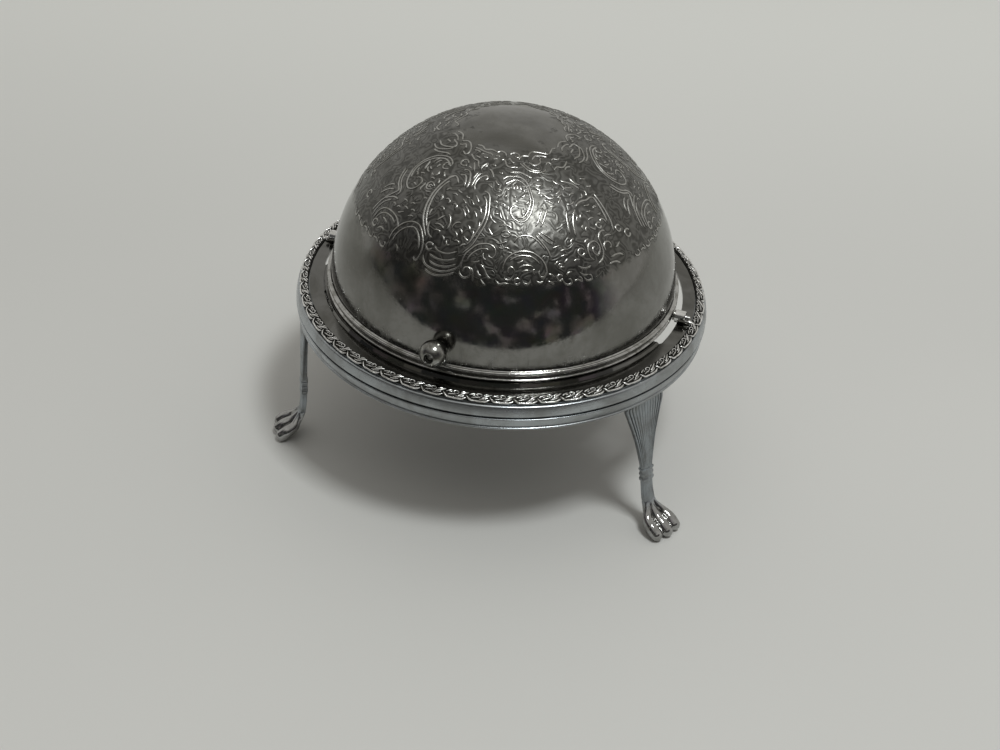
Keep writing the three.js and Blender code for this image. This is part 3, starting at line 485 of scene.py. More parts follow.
CARTOUCHE_PANEL = [
    [(37, 16.9), (41, 16.4), (45, 16.5), (48.5, 17.2), (51.5, 17), (55, 16.6), (59, 16.8), (62, 17.1),
     (65, 16.5), (69, 16.7), (72, 17.6), (71.5, 18.9)],
    [(38, 18), (43, 17.9), (48, 18.1), (53, 18.3), (57, 18.3), (60, 19)],
    [(39, 19.2), (42, 18.7), (45.5, 18.8), (47, 19.6)],
    [(39.5, 20.6), (43.5, 21.5), (47, 22.3), (50.5, 22)],
    [(44.6, 20.8), (48, 20.9), (50.2, 21)],
    [(48.3, 20), (49.6, 19.2), (51.4, 19.1)],
    [(51.5, 20.1), (54, 20.3), (56.5, 19.9)],
    [(60.5, 20.5), (63, 19.9), (65.5, 19.9)],
    [(61.5, 19), (64, 18.6), (67, 18.9)],
    [(61.7, 22), (64, 22.6), (66.3, 22.4)],
    [(68, 20.4), (70.5, 19.6), (72.4, 20.5), (74, 22), (77, 22.6), (80, 22.4), (83.6, 22.6)],
    [(74, 19.6), (76, 19.2), (77.6, 20.2), (80.4, 21)],
    [(75, 17.6), (79.3, 16.6), (82.9, 16.9), (85.2, 17.7), (83.8, 18.6), (81, 18.3), (79.3, 18)],
    [(83.5, 19.4), (85.2, 18.8), (87.9, 18), (91, 17.9), (93.8, 18.1), (96, 17.2), (99.6, 16.6),
     (103.8, 16.8), (107.9, 17.4), (112.1, 18.3), (115.4, 18.8), (120, 18), (124, 17.4), (128, 18)],
    [(96.3, 19.8), (98.2, 19), (101, 18.4), (104.3, 18.6), (108.5, 19), (112, 20)],
    [(84.1, 20.5), (87.1, 21.9), (90.4, 23.6), (94.1, 24.4), (98.2, 24.9), (102.1, 24.8), (105.2, 23.8)],
    [(86.6, 20.2), (89.3, 21.9), (92.7, 23.3), (96.8, 24.1), (101, 24.3)],
    [(91.6, 20.5), (93.2, 20.9), (96, 21.9), (99.6, 21.9), (102.9, 21.1), (103.2, 20.2), (106, 19.5)],
    [(106, 22.6), (108.6, 21.8), (111, 22.4), (109, 23.4)],
    [(113, 21.4), (116, 21), (119, 21.8), (122, 21.4)],
    [(110, 25), (114, 24.2), (118, 25), (122, 24.4), (126, 23.4)],
    [(118, 26.2), (121, 25.4), (125, 25.8)],
    [(76, 24.7), (80.2, 24.3), (84.3, 24.4), (88.5, 25.5), (92.7, 26.8)],
    [(62.2, 32.2), (66.1, 33), (67.4, 36.1), (67.9, 39.7), (67.2, 43.3), (65.5, 46.6), (63.8, 49.7),
     (61.6, 51.9), (60.2, 53.3)],
    [(62.8, 33.6), (65, 34.8), (66, 36.8), (66.5, 39.8), (65.8, 43), (64.2, 46), (62.6, 48.8), (60.8, 50.8)],
    [(42, 29.9), (38.9, 31.9), (37.2, 34.7), (36.4, 38), (36.7, 40.8), (37.5, 43.6), (38.9, 46.1),
     (41.4, 48.8), (44.4, 51.6)],
    [(41.4, 31.8), (39.6, 33.6), (38.3, 36), (37.9, 38.6), (38.3, 41.2), (39.3, 44), (40.8, 46.4),
     (43, 48.9)],
    [(38, 32.2), (39.7, 30.8), (42.2, 30.1), (44.7, 30.8), (46.6, 32.4)],
    [(44, 28), (45.2, 26.9), (47.7, 26.75), (50, 27.4), (51.6, 29.1), (52.4, 31), (52.2, 33.3)],
    [(44, 28.1), (45.2, 29.1), (47.2, 28.6), (49.1, 29.4), (50.2, 31.3), (50.6, 33)],
    [(57.5, 33), (56.3, 31), (56.3, 29.4), (57.5, 28), (59.7, 27.2), (61.6, 26.9), (62.5, 27.7),
     (61.6, 28.5), (60.2, 28.3)],
    [(54.4, 32.5), (54.7, 30.2), (55, 28.5), (56.1, 26.9), (58.6, 26.3)],
    [(53.4, 29.5), (53.9, 27.6), (55.2, 25.8)],
    [(55.8, 25.5), (55.2, 24.4), (56.1, 23.3), (58, 22.4), (58.8, 22.6), (58, 23.6), (56.9, 24.4)],
    [(51.9, 26.9), (50.2, 24.9), (48.3, 23.6), (47.2, 23)],
    [(49.1, 25.8), (47.4, 25.5), (45.5, 25.1)],
    [(53.6, 24.9), (51.9, 23.6), (50.2, 22.4), (48.8, 21.9)],
    [(60.6, 24.4), (63, 24.6), (65, 25.8), (66.6, 27.4)],
    [(63.4, 29.6), (65.2, 30), (67.4, 31)],
    [(67.6, 27.4), (69, 28.8), (71, 29.6)],
    [(68.4, 24.6), (70.6, 25.2), (72.4, 24.6)],
    [(49.1, 41.9), (50.8, 43), (51.9, 44.7), (51.9, 46.6), (51.3, 47.4)],
    [(53.6, 47.2), (53.6, 45.5), (54.4, 44.4), (55.8, 43.8), (57.4, 43.8)],
    [(48.8, 42.7), (47.7, 43.6), (46.3, 44.9), (45.2, 45.8)],
    [(59.7, 43.8), (61, 44.7), (61.6, 45.8)],
    [(59.1, 47.2), (60.5, 48.3), (61.9, 48.8)],
    [(64.4, 41.9), (64.9, 43.3), (64.8, 44.9), (63.9, 45.8)],
    [(62.4, 44.9), (63.1, 46), (63, 47.7), (62.2, 49.4)],
    [(42.7, 45.8), (43, 47.7), (43.8, 49.4), (45.5, 50.5), (47.4, 50.9)],
    [(41.1, 42.2), (40.8, 43.8), (41.3, 45.5)],
    [(49, 39.5), (50.5, 38.6), (52, 39.4), (51, 40.6)],
    [(54.3, 39), (55.8, 39.8), (57.2, 41), (57.8, 42.4)],
    [(55.4, 38.2), (57.5, 39.2), (59, 40.6)],
    [(46.5, 36), (48.5, 35.5), (50, 36.2)],
    [(44.2, 38.5), (46, 37.8), (47.5, 38.7), (46.3, 39.8)],
    [(42.2, 35.8), (43.4, 34.6), (45, 34.4)],
    [(41, 38.4), (42, 37.4), (42.8, 38.6), (42, 40)],
    [(43.6, 41.4), (45, 40.8), (46.4, 41.4), (45.6, 42.6)],
    [(48.2, 33.6), (49.6, 34.4), (51.6, 34.6)],
    [(52.5, 36.2), (54.5, 36.9), (56, 37.9)],
    [(54, 34.8), (55.4, 35.6), (56.8, 35.4)],
    [(57, 35.6), (58.5, 36.4), (60, 37.7)],
    [(60.5, 39), (62, 40), (63, 41.5)],
    [(58.5, 33.8), (60.5, 35), (62, 36.6)],
    [(62.5, 37.2), (64, 38.6), (64.8, 40.2)],
    [(45, 46.9), (46.8, 46.2), (48.8, 46.4), (50.5, 47.4)],
    [(45.9, 49), (47.3, 48), (49, 48.3), (48.3, 49.6)],
    [(50.3, 49), (51.5, 49.6), (52.3, 50.8)],
    [(52.8, 49.8), (53.6, 51.3), (55.3, 51.2)],
    [(55.9, 50.2), (57, 49.3), (58.4, 50), (57.5, 51.2)],
    [(58.9, 51.5), (60, 50.2), (61.4, 49.8)],
    [(56.5, 45.5), (58, 46.2), (58.6, 47.5)],
    [(55, 46.5), (56.5, 47.7), (57, 49)],
    [(48.6, 52.4), (50.5, 53.7), (53.3, 54.1), (56.1, 53.7), (59.1, 52.3)],
    [(47.7, 55.4), (50.5, 56.1), (53.3, 56.2), (56.1, 55.8), (59.4, 54.5)],
    [(48.3, 57.2), (50.5, 57.9), (53.6, 58.1), (56.9, 57.5), (60, 56)],
    [(45.8, 55.8), (46.3, 57.4), (47.7, 58.8), (50.5, 59.5), (53.6, 59.6), (56.9, 58.9), (60.2, 57.2),
     (61.1, 55.6), (61.2, 54.2)],
    [(47.7, 59.9), (49.7, 60.8), (52.4, 61.1), (55.2, 60.6), (58, 59.6), (59.9, 58.5)],
    [(61.6, 57.7), (61.3, 55.8), (61.9, 53), (63.6, 51.1), (65.8, 49.4), (68.6, 48.7), (71.3, 48.8),
     (73, 49.9), (73.3, 51.6), (72.4, 52.7), (71.1, 52.4), (70.4, 51.5)],
    [(62.9, 55.6), (63.4, 53.6), (65, 51.8), (67, 50.6), (69, 50.2), (70.8, 50.3)],
    [(60.8, 57.4), (61.3, 58.8), (63, 59.7), (64.7, 59.1), (65.2, 57.7), (64.4, 56.6), (63, 56.6),
     (62.4, 57.7), (63.3, 58.4)],
    [(70.4, 53.6), (69.2, 53.2), (68.6, 52.1), (68.9, 51.3)],
    [(67.4, 55.5), (68.6, 55.2), (69.9, 56.3), (71.3, 58.3), (73, 59.1)],
    [(67.2, 56.6), (68, 58), (69.4, 58.6)],
    [(68.8, 59.1), (69.7, 60.2), (71.3, 61.3)],
    [(64.1, 56.1), (65.8, 57.4), (66.6, 61.1)],
    [(64.3, 54.9), (66.3, 54.6), (68, 53.9)],
    [(73.2, 54.3), (74.4, 54)],
    [(73.4, 55.8), (74.8, 55.6)],
    [(73.8, 57.2), (75, 56.8)],
    [(74.4, 51.4), (75.6, 50.8)],
    [(74, 52.9), (75.4, 52.5)],
    [(73.8, 58.8), (75.5, 60.2), (77.4, 59.9), (79.7, 60.2)],
    [(68.8, 38.8), (69.4, 40.5), (71.1, 41.6), (72.7, 42.2)],
    [(69.2, 37.4), (70.6, 36.9), (72.2, 37.3)],
    [(70.6, 39.5), (71.8, 38.9), (73, 39.3)],
    [(73.3, 37.8), (73.8, 39.7), (75.2, 40.8)],
    [(68.6, 43.3), (70.2, 44.9), (71.9, 46.3)],
    [(67.7, 45.8), (68, 47.4)],
    [(74.4, 44.9), (76.3, 44.1), (78, 44.4), (78.8, 45.2), (77.4, 46), (75.5, 45.8), (74.4, 44.9)],
    [(73.2, 43.2), (75.4, 42.4), (78, 42.6), (80, 43.8)],
    [(69, 35.5), (70.5, 35), (72, 35.6)],
    [(73, 36.6), (73.8, 35.5), (75.3, 35.9), (75.1, 37.2)],
    [(76.2, 35.8), (77.2, 36.6), (77, 38.2)],
    [(69.4, 33.2), (71, 32.9), (72.6, 33.5)],
    [(69.6, 31.2), (71.4, 30.8), (73, 31.6)],
    [(74, 33.4), (75.3, 32.8), (76.4, 33.3)],
    [(74.4, 31), (76, 30.4), (77.4, 31)],
    [(72.4, 47.4), (74.2, 48.2), (76, 47.8), (78, 47)],
    [(73.6, 48.9), (75.4, 49.6), (77.6, 49.2), (79.3, 50)],
    [(72, 27.8), (73.7, 26.6), (76, 26.1), (80.2, 25.9), (84.3, 26.3), (87.1, 27.4), (89.1, 29.4),
     (89.9, 31.9), (90.4, 34.7), (89.3, 36.9), (87.7, 39.1), (85.4, 40.8), (82.7, 41.2), (80.2, 40.2),
     (78.5, 38.6), (78.5, 36.9), (80.2, 36.1), (81.8, 36.3), (82.7, 37.2)],
    [(74.2, 29.3), (76, 28.2), (80.2, 27.2), (83.8, 27.6), (86.2, 28.7), (87.9, 30.3), (88.7, 32.4),
     (89, 34.4), (88, 36.4), (86.6, 38.2), (84.6, 39.6), (82.5, 39.9), (80.6, 39.2)],
    [(78.6, 29), (79.8, 29.6), (80, 30.9)],
    [(80.6, 28.9), (81.8, 29.5), (82, 30.8)],
    [(83, 28.9), (84, 29.8), (84, 31)],
    [(85.2, 29.6), (86, 30.6), (85.8, 31.8)],
    [(82.9, 32.9), (84.6, 33.1), (86.3, 32.4), (87.7, 31.9)],
    [(85.2, 35.2), (86.3, 35.5), (87.7, 34.7), (88.2, 33.8)],
    [(78.8, 32.4), (80.2, 33.2), (81.8, 32.9)],
    [(79.4, 34.6), (81, 34.4), (82.4, 35)],
    [(84.2, 36.8), (85.4, 37.2), (86.6, 36.6)],
    [(83.2, 38.6), (84.6, 38.6), (86, 37.9)],
    [(91.6, 30.2), (93.2, 30.2), (95.2, 31.3), (94.5, 32.2), (92.8, 31.6)],
    [(92, 28.4), (94, 29.3), (96, 29.6), (98.5, 28.9)],
    [(93.5, 27), (95.5, 27.6), (98, 27.4)],
    [(94.1, 33.6), (95.4, 32.9), (97.4, 33), (99.1, 34.1), (101, 34.4), (102.9, 33.3)],
    [(95.4, 34.9), (98.2, 34.9), (101, 36.1), (102.4, 35.2)],
    [(92.4, 35.6), (93.8, 34.9)],
    [(98, 36.4), (99.6, 37.1), (102.2, 37)],
    [(98, 31.4), (99.4, 31.9)],
    [(100.4, 31.6), (102.7, 32.2)],
    [(101.6, 30.4), (104, 31)],
    [(102.9, 29.2), (105.2, 30.6)],
    [(104.9, 27.7), (106.6, 29.4), (109.3, 30.6)],
    [(103.4, 33.3), (106, 32.6), (108, 32)],
    [(103.8, 34.6), (106.3, 33.6), (107.6, 33.4)],
    [(103, 36.4), (105, 35.2), (106.4, 35)],
    [(94.9, 36.6), (93.2, 38.6), (91.6, 40.8), (89.6, 43)],
    [(97.1, 36.9), (95.4, 39.1), (93.8, 41.1), (91.8, 43.3)],
    [(89.9, 44.1), (93.8, 47.4), (96, 48.8)],
    [(91, 44.1), (94.9, 46.3), (97.7, 48.4)],
    [(89.1, 44.9), (92.1, 48), (94.1, 50.8), (94.3, 53)],
    [(80.2, 48), (81.6, 46.1), (84.9, 45.4), (88.2, 46), (91, 48), (93.2, 50.5)],
    [(76.8, 57.4), (76.6, 55.2), (77.7, 52.7), (79.9, 51.1), (83.2, 50.2), (87.1, 50.5), (89.9, 51.9),
     (91.8, 53.8), (92.5, 56.3), (91.6, 58), (90.2, 58), (89.6, 56.6), (90.4, 55.8)],
    [(78.3, 53.6), (80.3, 52.3), (83.2, 51.5), (86.8, 51.8), (89, 53), (90.7, 54.7)],
    [(76.8, 57.4), (77.7, 58.8), (79.3, 58.8), (80.6, 57.4), (80.7, 55.8), (79.6, 54.9), (78.6, 55.5),
     (78.4, 56.6), (79.1, 57.2)],
    [(81.6, 56), (82.9, 54.9), (84.9, 54.4), (87.1, 54.7), (88.5, 55.8)],
    [(82.9, 56.6), (84.9, 55.9), (86.8, 56.2)],
    [(88.5, 57.4), (87.7, 56.9), (87.7, 55.8), (88.5, 55.5)],
    [(81.3, 53.8), (82.7, 53.5), (84.3, 52.7)],
    [(86.4, 53.4), (88, 53.4)],
    [(83.6, 58.2), (84, 59.6), (85.2, 60), (86.4, 59.4), (86.6, 58)],
    [(88.4, 59), (89.8, 59.8), (91.4, 59.2)],
    [(92.9, 57.4), (94.4, 57.6), (95.4, 58.9)],
    [(92.4, 59.4), (94, 59.9), (95.2, 60.8)],
    [(95.4, 49.9), (97.7, 49.4), (99.9, 49.1)],
    [(99.3, 54.9), (100.4, 54), (101.8, 53.3)],
    [(98.4, 51.2), (100.4, 50.6), (102.6, 50.8)],
    [(95.6, 51.4), (96.6, 50.8)],
    [(95.2, 54.8), (96.6, 54.3), (97.4, 53.6)],
    [(98.2, 52.8), (100, 52.3), (102, 52.4)],
    [(97, 56.4), (98.4, 55.6), (99.8, 56)],
    [(99.4, 58.6), (100.8, 57.6), (102.4, 57.6)],
    [(103.2, 54.8), (104.8, 54.2), (106.4, 54.6)],
    [(103.4, 49.4), (104.4, 48.2), (106, 47.8)],
    [(105.2, 50.2), (106, 49.2)],
    [(106.6, 38.6), (105.4, 40.8), (104.8, 43.6), (104.3, 46.6)],
    [(111.6, 38.8), (109.1, 40.8), (107.7, 43), (107.1, 45.5), (106.8, 47.7)],
    [(111.6, 38.8), (113.6, 37.8), (116.5, 37.4), (119.5, 37.6), (122.4, 37.3), (124.4, 38), (124.9, 41),
     (124.9, 44.4), (124.4, 47)],
    [(126.2, 36.2), (126.7, 40.8), (126.7, 44.4), (126.4, 47.4), (125.3, 50.2)],
    [(120.9, 45.9), (121.5, 44.9), (122.5, 44.7), (123.6, 45.6), (123.7, 47.2)],
    [(110.7, 46), (111.2, 44.9), (112, 44.4)],
    [(112, 46.9), (112.7, 45.8), (113.6, 45)],
    [(109.4, 43.4), (110.2, 42), (111.4, 41)],
    [(111.6, 42.8), (112.4, 41.6), (113, 40.9)],
    [(113.6, 41.8), (114.1, 40.4)],
    [(115.2, 43.8), (117, 43.2), (119, 43.6)],
    [(116, 40.8), (117.6, 41.3), (119, 40.7)],
    [(120.6, 41), (122, 40.2), (123.2, 41.2)],
    [(116.2, 38.9), (118.4, 39.3), (120.4, 38.9)],
    [(121, 42.8), (122.6, 43.2), (123.6, 42.6)],
    [(114.8, 45.4), (115.8, 46.6), (117.6, 47)],
    [(108.8, 47.8), (110, 48.4)],
    [(109.7, 50.4), (110.6, 49.4), (112.6, 49)],
    [(114.4, 52.9), (113.5, 51.8), (112.6, 52.5), (112.7, 53.8), (114, 54.6), (115.4, 53.8), (115.9, 52.2),
     (115, 50.6), (113.2, 50.2), (111.2, 51), (110.4, 52.8), (110.8, 54.8), (112.6, 56)],
    [(122, 48.6), (119.7, 48), (118.1, 48.6), (116.9, 49.9), (117, 51.9), (116.9, 54.1), (115.7, 56.2),
     (112.8, 57.4)],
    [(118.4, 54.8), (118, 53), (118.8, 51.9), (120.2, 51.7), (121.4, 52.5), (121.2, 53.7), (120, 54)],
    [(123, 54.6), (124.6, 54.2), (126.4, 53.2)],
    [(119.3, 50.2), (121.6, 49.8), (124, 50.6)],
    [(104.4, 56), (106.2, 57), (108.4, 57.4), (110.8, 56.8)],
    [(104.8, 58), (106.4, 59.2), (108.8, 59.4)],
    [(110, 28.8), (112.2, 29.7), (115.6, 30.8), (118.1, 32.2), (119.7, 34.1)],
    [(116.9, 28.4), (118.1, 30.4), (119.9, 32), (122.2, 32.4)],
    [(120.3, 28.3), (121.4, 29.9)],
    [(124, 30.2), (126, 31.2), (128, 31.2)],
    [(124.6, 33.4), (126.4, 34.2), (128.4, 33.8)],
    [(121.9, 34.2), (121.9, 35.6), (120.8, 36.6)],
    [(118.7, 34.6), (118.6, 35.8), (117.4, 36.4), (115.7, 36.2)],
    [(108.8, 32.4), (110.7, 31.9), (113.5, 32.2), (116, 32.8)],
    [(107.9, 36.3), (108.5, 37.2), (110.4, 37.3), (113, 36.5)],
    [(108.2, 33.3), (109.1, 34.6)],
    [(111, 34.7), (113, 34.1), (115, 34.6)],
    [(113.2, 58.4), (113.8, 60)],
    [(115.2, 57.8), (115.8, 59.6)],
    [(110.6, 61), (112.6, 60.5)],
    [(117.6, 58.8), (119.4, 58.2), (121.8, 58.6), (123.4, 60)],
    [(119, 56.8), (121.6, 56.4), (124.4, 56.8), (126, 58.2)],
]
CARTOUCHE_RINGS = [
    (41.1, 24.6, 1.2), (47.2, 53.4, 1.1), (81.8, 59.2, 0.9), (97.2, 58.8, 0.9), (119.5, 46.2, 0.9),
    (98, 55.2, 0.5), (128.6, 49.6, 1), (107.4, 52.4, 1.1),
]
PANEL_START = -150  # degrees round the ring, from +X
STROKE_RADIUS = 0.6
DASH_RADIUS = 0.5
DOT_SPACING = 1.1  # degrees between two rows of short strokes
STROKE_DEPTH = 0.4  # how far the middle of a stroke lies in the dome
SCROLL_TURNS = (0, 130)
CARTOUCHE_TURNS = (0, 130, 222)


def ring_stroke(along, down, size):
    """A stroke that closes on itself, round a place on the dome."""
    angles = [math.radians(step * 36) for step in range(11)]
    stretch = 1 / math.sin(math.radians(down))
    return [(along + size * stretch * math.cos(a), down + size * math.sin(a)) for a in angles]


def dots(starts, ends):
    """Short strokes in staggered rows between two edges, each a list of (along, down)."""
    low, high = starts[0][1], starts[-1][1]
    strokes = []
    row = 0
    while low + row * DOT_SPACING < high:
        down = low + row * DOT_SPACING
        left, right = (between(edge, down) for edge in (starts, ends))
        along = left + DOT_SPACING * (1.2 + row % 2)
        while along < right - DOT_SPACING:
            strokes.append([(along, down), (along + 0.55, down - 0.25)])
            along += DOT_SPACING * 2
        row += 1
    return strokes


def between(edge, down):
    """Where an edge crosses a given height."""
    for (a, b), (c, d) in zip(edge, edge[1:]):
        if b <= down <= d:
            return a + (c - a) * (down - b) / (d - b)
    return edge[-1][0]


def scallops(start, end, down, width):
    """A row of small hanging curls."""
    count = round((end - start) / width)
    return [
        [(start + width * (i + share), down + depth) for share, depth in
         ((0.1, -1), (0.12, 0.4), (0.45, 1.2 - i % 2), (0.85, 0.9), (0.75, -0.4), (0.5, -0.2))]
        for i in range(count)
    ]


def smooth(path, spacing):
    """Points along a smooth line through a path's points."""
    points = [Vector(p) for p in path]
    last = len(points) - 1
    line = []
    for i in range(last):
        before, start, end, after = points[max(i - 1, 0)], points[i], points[i + 1], points[min(i + 2, last)]
        count = max(2, math.ceil((end - start).length / spacing))
        for t in (k / count for k in range(count)):
            square = (2 * before - 5 * start + 4 * end - after) * t ** 2
            cube = (3 * start - before - 3 * end + after) * t ** 3
            line.append(0.5 * (2 * start + (end - before) * t + square + cube))
    return [*line, points[last]]


def strands(lines, sides):
    """Round strands along lines of (x, y, z, radius)."""
    curve = bpy.data.curves.new("strands", "CURVE")
    curve.dimensions = "3D"
    curve.bevel_depth = 1.0
    curve.bevel_resolution = (sides - 4) // 2
    curve.use_fill_caps = True
    for line in lines:
        spline = curve.splines.new("POLY")
        spline.points.add(len(line) - 1)
        for point, (x, y, z, radius) in zip(spline.points, line):
            point.co = (x, y, z, 1)
            point.radius = radius
    strand = bpy.data.objects.new("strands", curve)
    bpy.context.scene.collection.objects.link(strand)
    return evaluated(strand)


def ridge(stroke, turn):
    """A stroke as a rounded ridge that sinks into the dome at its ends."""
    radius = DASH_RADIUS if len(stroke) == 2 else STROKE_RADIUS
    reach = DOME_RADIUS - STROKE_DEPTH
    line = smooth(stroke, 0.9)
    taper = min(2, (len(line) - 1) / 4)
    placed = []
    for i, (along, down) in enumerate(line):
        a, e = math.radians(PANEL_START + turn + along), math.radians(90 - down)
        from_end = min(i, len(line) - 1 - i)
        size = radius * min(1, 0.62 + 0.38 * from_end / taper)
        placed.append((reach * math.cos(a) * math.cos(e), reach * math.sin(a) * math.cos(e),
                       PIVOT + reach * math.sin(e), size))
    return placed


def engraving():
    """Two panels of scrollwork that repeat round the dome."""
    scroll_cell = dots([(0.2, 37), (0.2, 50)],
                       [(8.6, 37), (14.4, 42.2), (17, 43.6), (8.2, 47.7), (7, 50)])
    cartouche_cell = dots([(97, 37.6), (91.8, 43.3), (98, 48.6)],
                          [(104.4, 37.6), (104, 43.6), (103.4, 48.6)])
    rope = [[(a, d), (a + 0.9, d - 0.7)] for a, d in (
        (80.4, 49.6), (81.9, 48.7), (83.5, 48), (85.2, 47.9), (86.9, 48.2), (88.5, 49), (89.9, 50.2),
        (91.3, 51.6), (92.3, 53.2))]
    panels = (
        (SCROLL_TURNS, [*SCROLL_PANEL, *(ring_stroke(*r) for r in SCROLL_RINGS), *scroll_cell,
                        *scallops(1, 29, 59.2, 4)]),
        (CARTOUCHE_TURNS, [*CARTOUCHE_PANEL, *(ring_stroke(*r) for r in CARTOUCHE_RINGS), *cartouche_cell,
                           *rope, *scallops(98, 110, 60, 4)]),
    )
    lines = [ridge(stroke, turn) for turns, strokes in panels for turn in turns for stroke in strokes]
    finished(strands(lines, 8), "engraving", "cover", SILVER_RIDGE, sharp=180)


# Frame ring

def ring_band():
    """Flat shelf, swelling band, sunk line and rolled lower lip."""
    profile = [
        (75.2, SHELF - 1.2), (75.2, SHELF), (79.2, SHELF), (79.2, SHELF - 0.7), (79.7, SHELF - 0.7),
        *arc(79.8, SHELF - 1.5, 1, 85, 10, 6), (81, SHELF - 2), (81.2, SHELF - 3.2), (81.4, SHELF - 4.2),
        *arc(81.15, SHELF - 4.45, 0.25, 10, -80, 3), (79.9, SHELF - 4.75), (79.9, SHELF - 5.65),
        *arc(81.05, SHELF - 6, 0.35, 90, -10, 4),
        (81.35, SHELF - 6.4), (81.1, SHELF - 7.6), (80.7, SHELF - 8.9), (80.4, SHELF - 9.6),
        (80.2, SHELF - 9.9), *arc(80.3, SHELF - 10.45, 0.45, 80, -80, 5),
        (79.9, SHELF - 10.95), (79.2, SHELF - 10.95), (79.6, SHELF - 6), (78.6, SHELF - 1.2),
    ]
    finished(spun(profile, 256), "ring_band", "frame", SILVER_BAND, ["rim_band"])


# The border's repeat, as lines of (along, across from the inner edge, radius).
LEAF_MOTIF = [
    [(0, 1.7, 0.12), (0.6, 2.4, 0.3), (1.5, 3, 0.36), (3, 3.1, 0.3), (5, 3.15, 0.36), (7.1, 3.05, 0.38),
     (8.3, 2.6, 0.14)],
    [(1.9, 2.3, 0.12), (2.9, 2.1, 0.2), (4.2, 1.9, 0.24), (5.3, 1.5, 0.26), (5.5, 0.85, 0.24),
     (4.7, 0.4, 0.24), (3.8, 0.6, 0.22), (3.6, 1.1, 0.2), (4.2, 1.3, 0.12)],
    [(5.5, 2.3, 0.12), (6.3, 1.85, 0.32), (7.3, 1.3, 0.42), (8.3, 0.75, 0.32), (9.1, 0.4, 0.12)],
    [(4.6, 2.6, 0.1), (5.6, 2.55, 0.22), (6.8, 2.3, 0.2), (7.6, 1.95, 0.1)],
    [(6.2, 0.95, 0.1), (7, 0.5, 0.26), (7.8, 0.25, 0.12)],
    [(1, 1.35, 0.1), (1.7, 0.95, 0.3), (2.7, 0.6, 0.26), (3.2, 0.5, 0.1)],
    [(2.2, 1.5, 0.1), (2.8, 1.25, 0.2), (3.2, 1.15, 0.1)],
]
LEAF_PITCH = 8.4


def on_border(along, across, radius):
    """A place on the border's rounded face."""
    angle = 2 * math.pi / LEAVES * along / LEAF_PITCH
    reach = BORDER_INNER + 0.05 + across
    height = SHELF + 0.1 + 1.7 * math.sqrt(1 - (across / 3.3) ** 2)
    return (reach * math.cos(angle), reach * math.sin(angle), height, radius)


def leaf_border():
    """A dark rounded moulding that carries the running leaves."""
    base = spun([
        (BORDER_INNER, SHELF), (79.5, SHELF), (79.5, SHELF + 0.2), (79.1, SHELF + 0.75),
        (78.5, SHELF + 1.1), (77.8, SHELF + 1.35), (77.1, SHELF + 1.4), (BORDER_INNER, SHELF + 1.1),
    ], 232)
    finished(base, "border_ground", "frame", BORDER_GROUND, ["leaf_border"])
    leaves = strands([[on_border(*point) for point in smooth(line, 0.45)] for line in LEAF_MOTIF], 6)
    bmesh.ops.spin(leaves, geom=leaves.verts[:] + leaves.edges[:] + leaves.faces[:], axis=(0, 0, 1),
                   angle=2 * math.pi * (1 - 1 / LEAVES), steps=LEAVES - 1, use_duplicate=True)
    finished(leaves, "border_leaves", "frame", SILVER_LEAF, sharp=60)


# Legs

# Height, width, thickness, depth of the flutes, and how far the foot has swept outwards.
PAW_LEVELS = [
    (4, 10.5, 2.6, 0, 6.2), (5.4, 10.2, 3.2, 0, 4.4), (7.4, 8.4, 3.2, 0, 2.5), (10, 6.6, 3, 0, 1.1),
    (11.6, 5.9, 2.9, 0, 0.6), (13, 4.4, 1.8, 0, 0.4),
]
SHANK_LEVELS = [
    (9.5, 4.4, 1.4, 0, 1), (11, 5.4, 2.4, 0, 0.7), (12.4, 5.6, 2.8, 0.1, 0.45), (14, 5.4, 2.8, 0.3, 0.25),
    (17, 5, 2.8, 0.3, 0),
    (20.4, 5.1, 2.8, 0.2, 0), (20.8, 6, 3.3, 0, 0), (21.8, 6.1, 3.4, 0, 0), (22.2, 5.5, 2.9, 0, 0),
    (22.8, 5.5, 2.9, 0, 0), (23.2, 6, 3.1, 0, 0), (24, 6, 3.1, 0, 0), (24.4, 5.5, 2.9, 0, 0),
    (25, 5.5, 2.9, 0, 0), (25.4, 6.2, 3.4, 0, 0), (26.2, 6.1, 3.3, 0, 0), (26.7, 5.3, 2.8, 0.3, 0),
    (31.5, 6.9, 2.8, 0.6, 0), (39.6, 10.4, 2.8, 0.9, 0), (47.6, 15.6, 2.8, 1, 0), (54, 20, 2.8, 1, 0),
    (LEG_TOP, 19.4, 2.8, 1, 0),
]
FLUTE_DEPTH = 0.7


def leg_middle(z):
    """How far the middle of a leg stands from the ring's axis at a height."""
    return LEG_RADIUS + LEG_SPLAY * (1 - z / LEG_TOP)


def flute(u):
    """How deep the outer face is cut at a place from -1 to 1 across it: sharp lines, deepest at the edges."""
    return (0.35 + 0.65 * abs(u) ** 1.5) * (0.5 - 0.5 * math.cos(13 * math.pi * u)) ** 3


def leg_outline(level, steps=84):
    """One level of the leg: fluted outside, plain inside, as (x, y, z, share of the full flute)."""
    z, width, thick, flutes, out = level
    middle = leg_middle(z) + out
    outline = []
    for u in (2 * i / steps - 1 for i in range(steps + 1)):
        cut = flutes * flute(u)
        face = middle + 0.3 * thick + 0.2 * thick * (1 - u * u)
        outline.append((face - cut * FLUTE_DEPTH, u * width / 2, z, cut))
    for u in (0.96, 0.5, 0, -0.5, -0.96):
        outline.append((middle - 0.35 * thick - 0.15 * thick * (1 - u * u), u * width / 2, z, 0))
    return outline


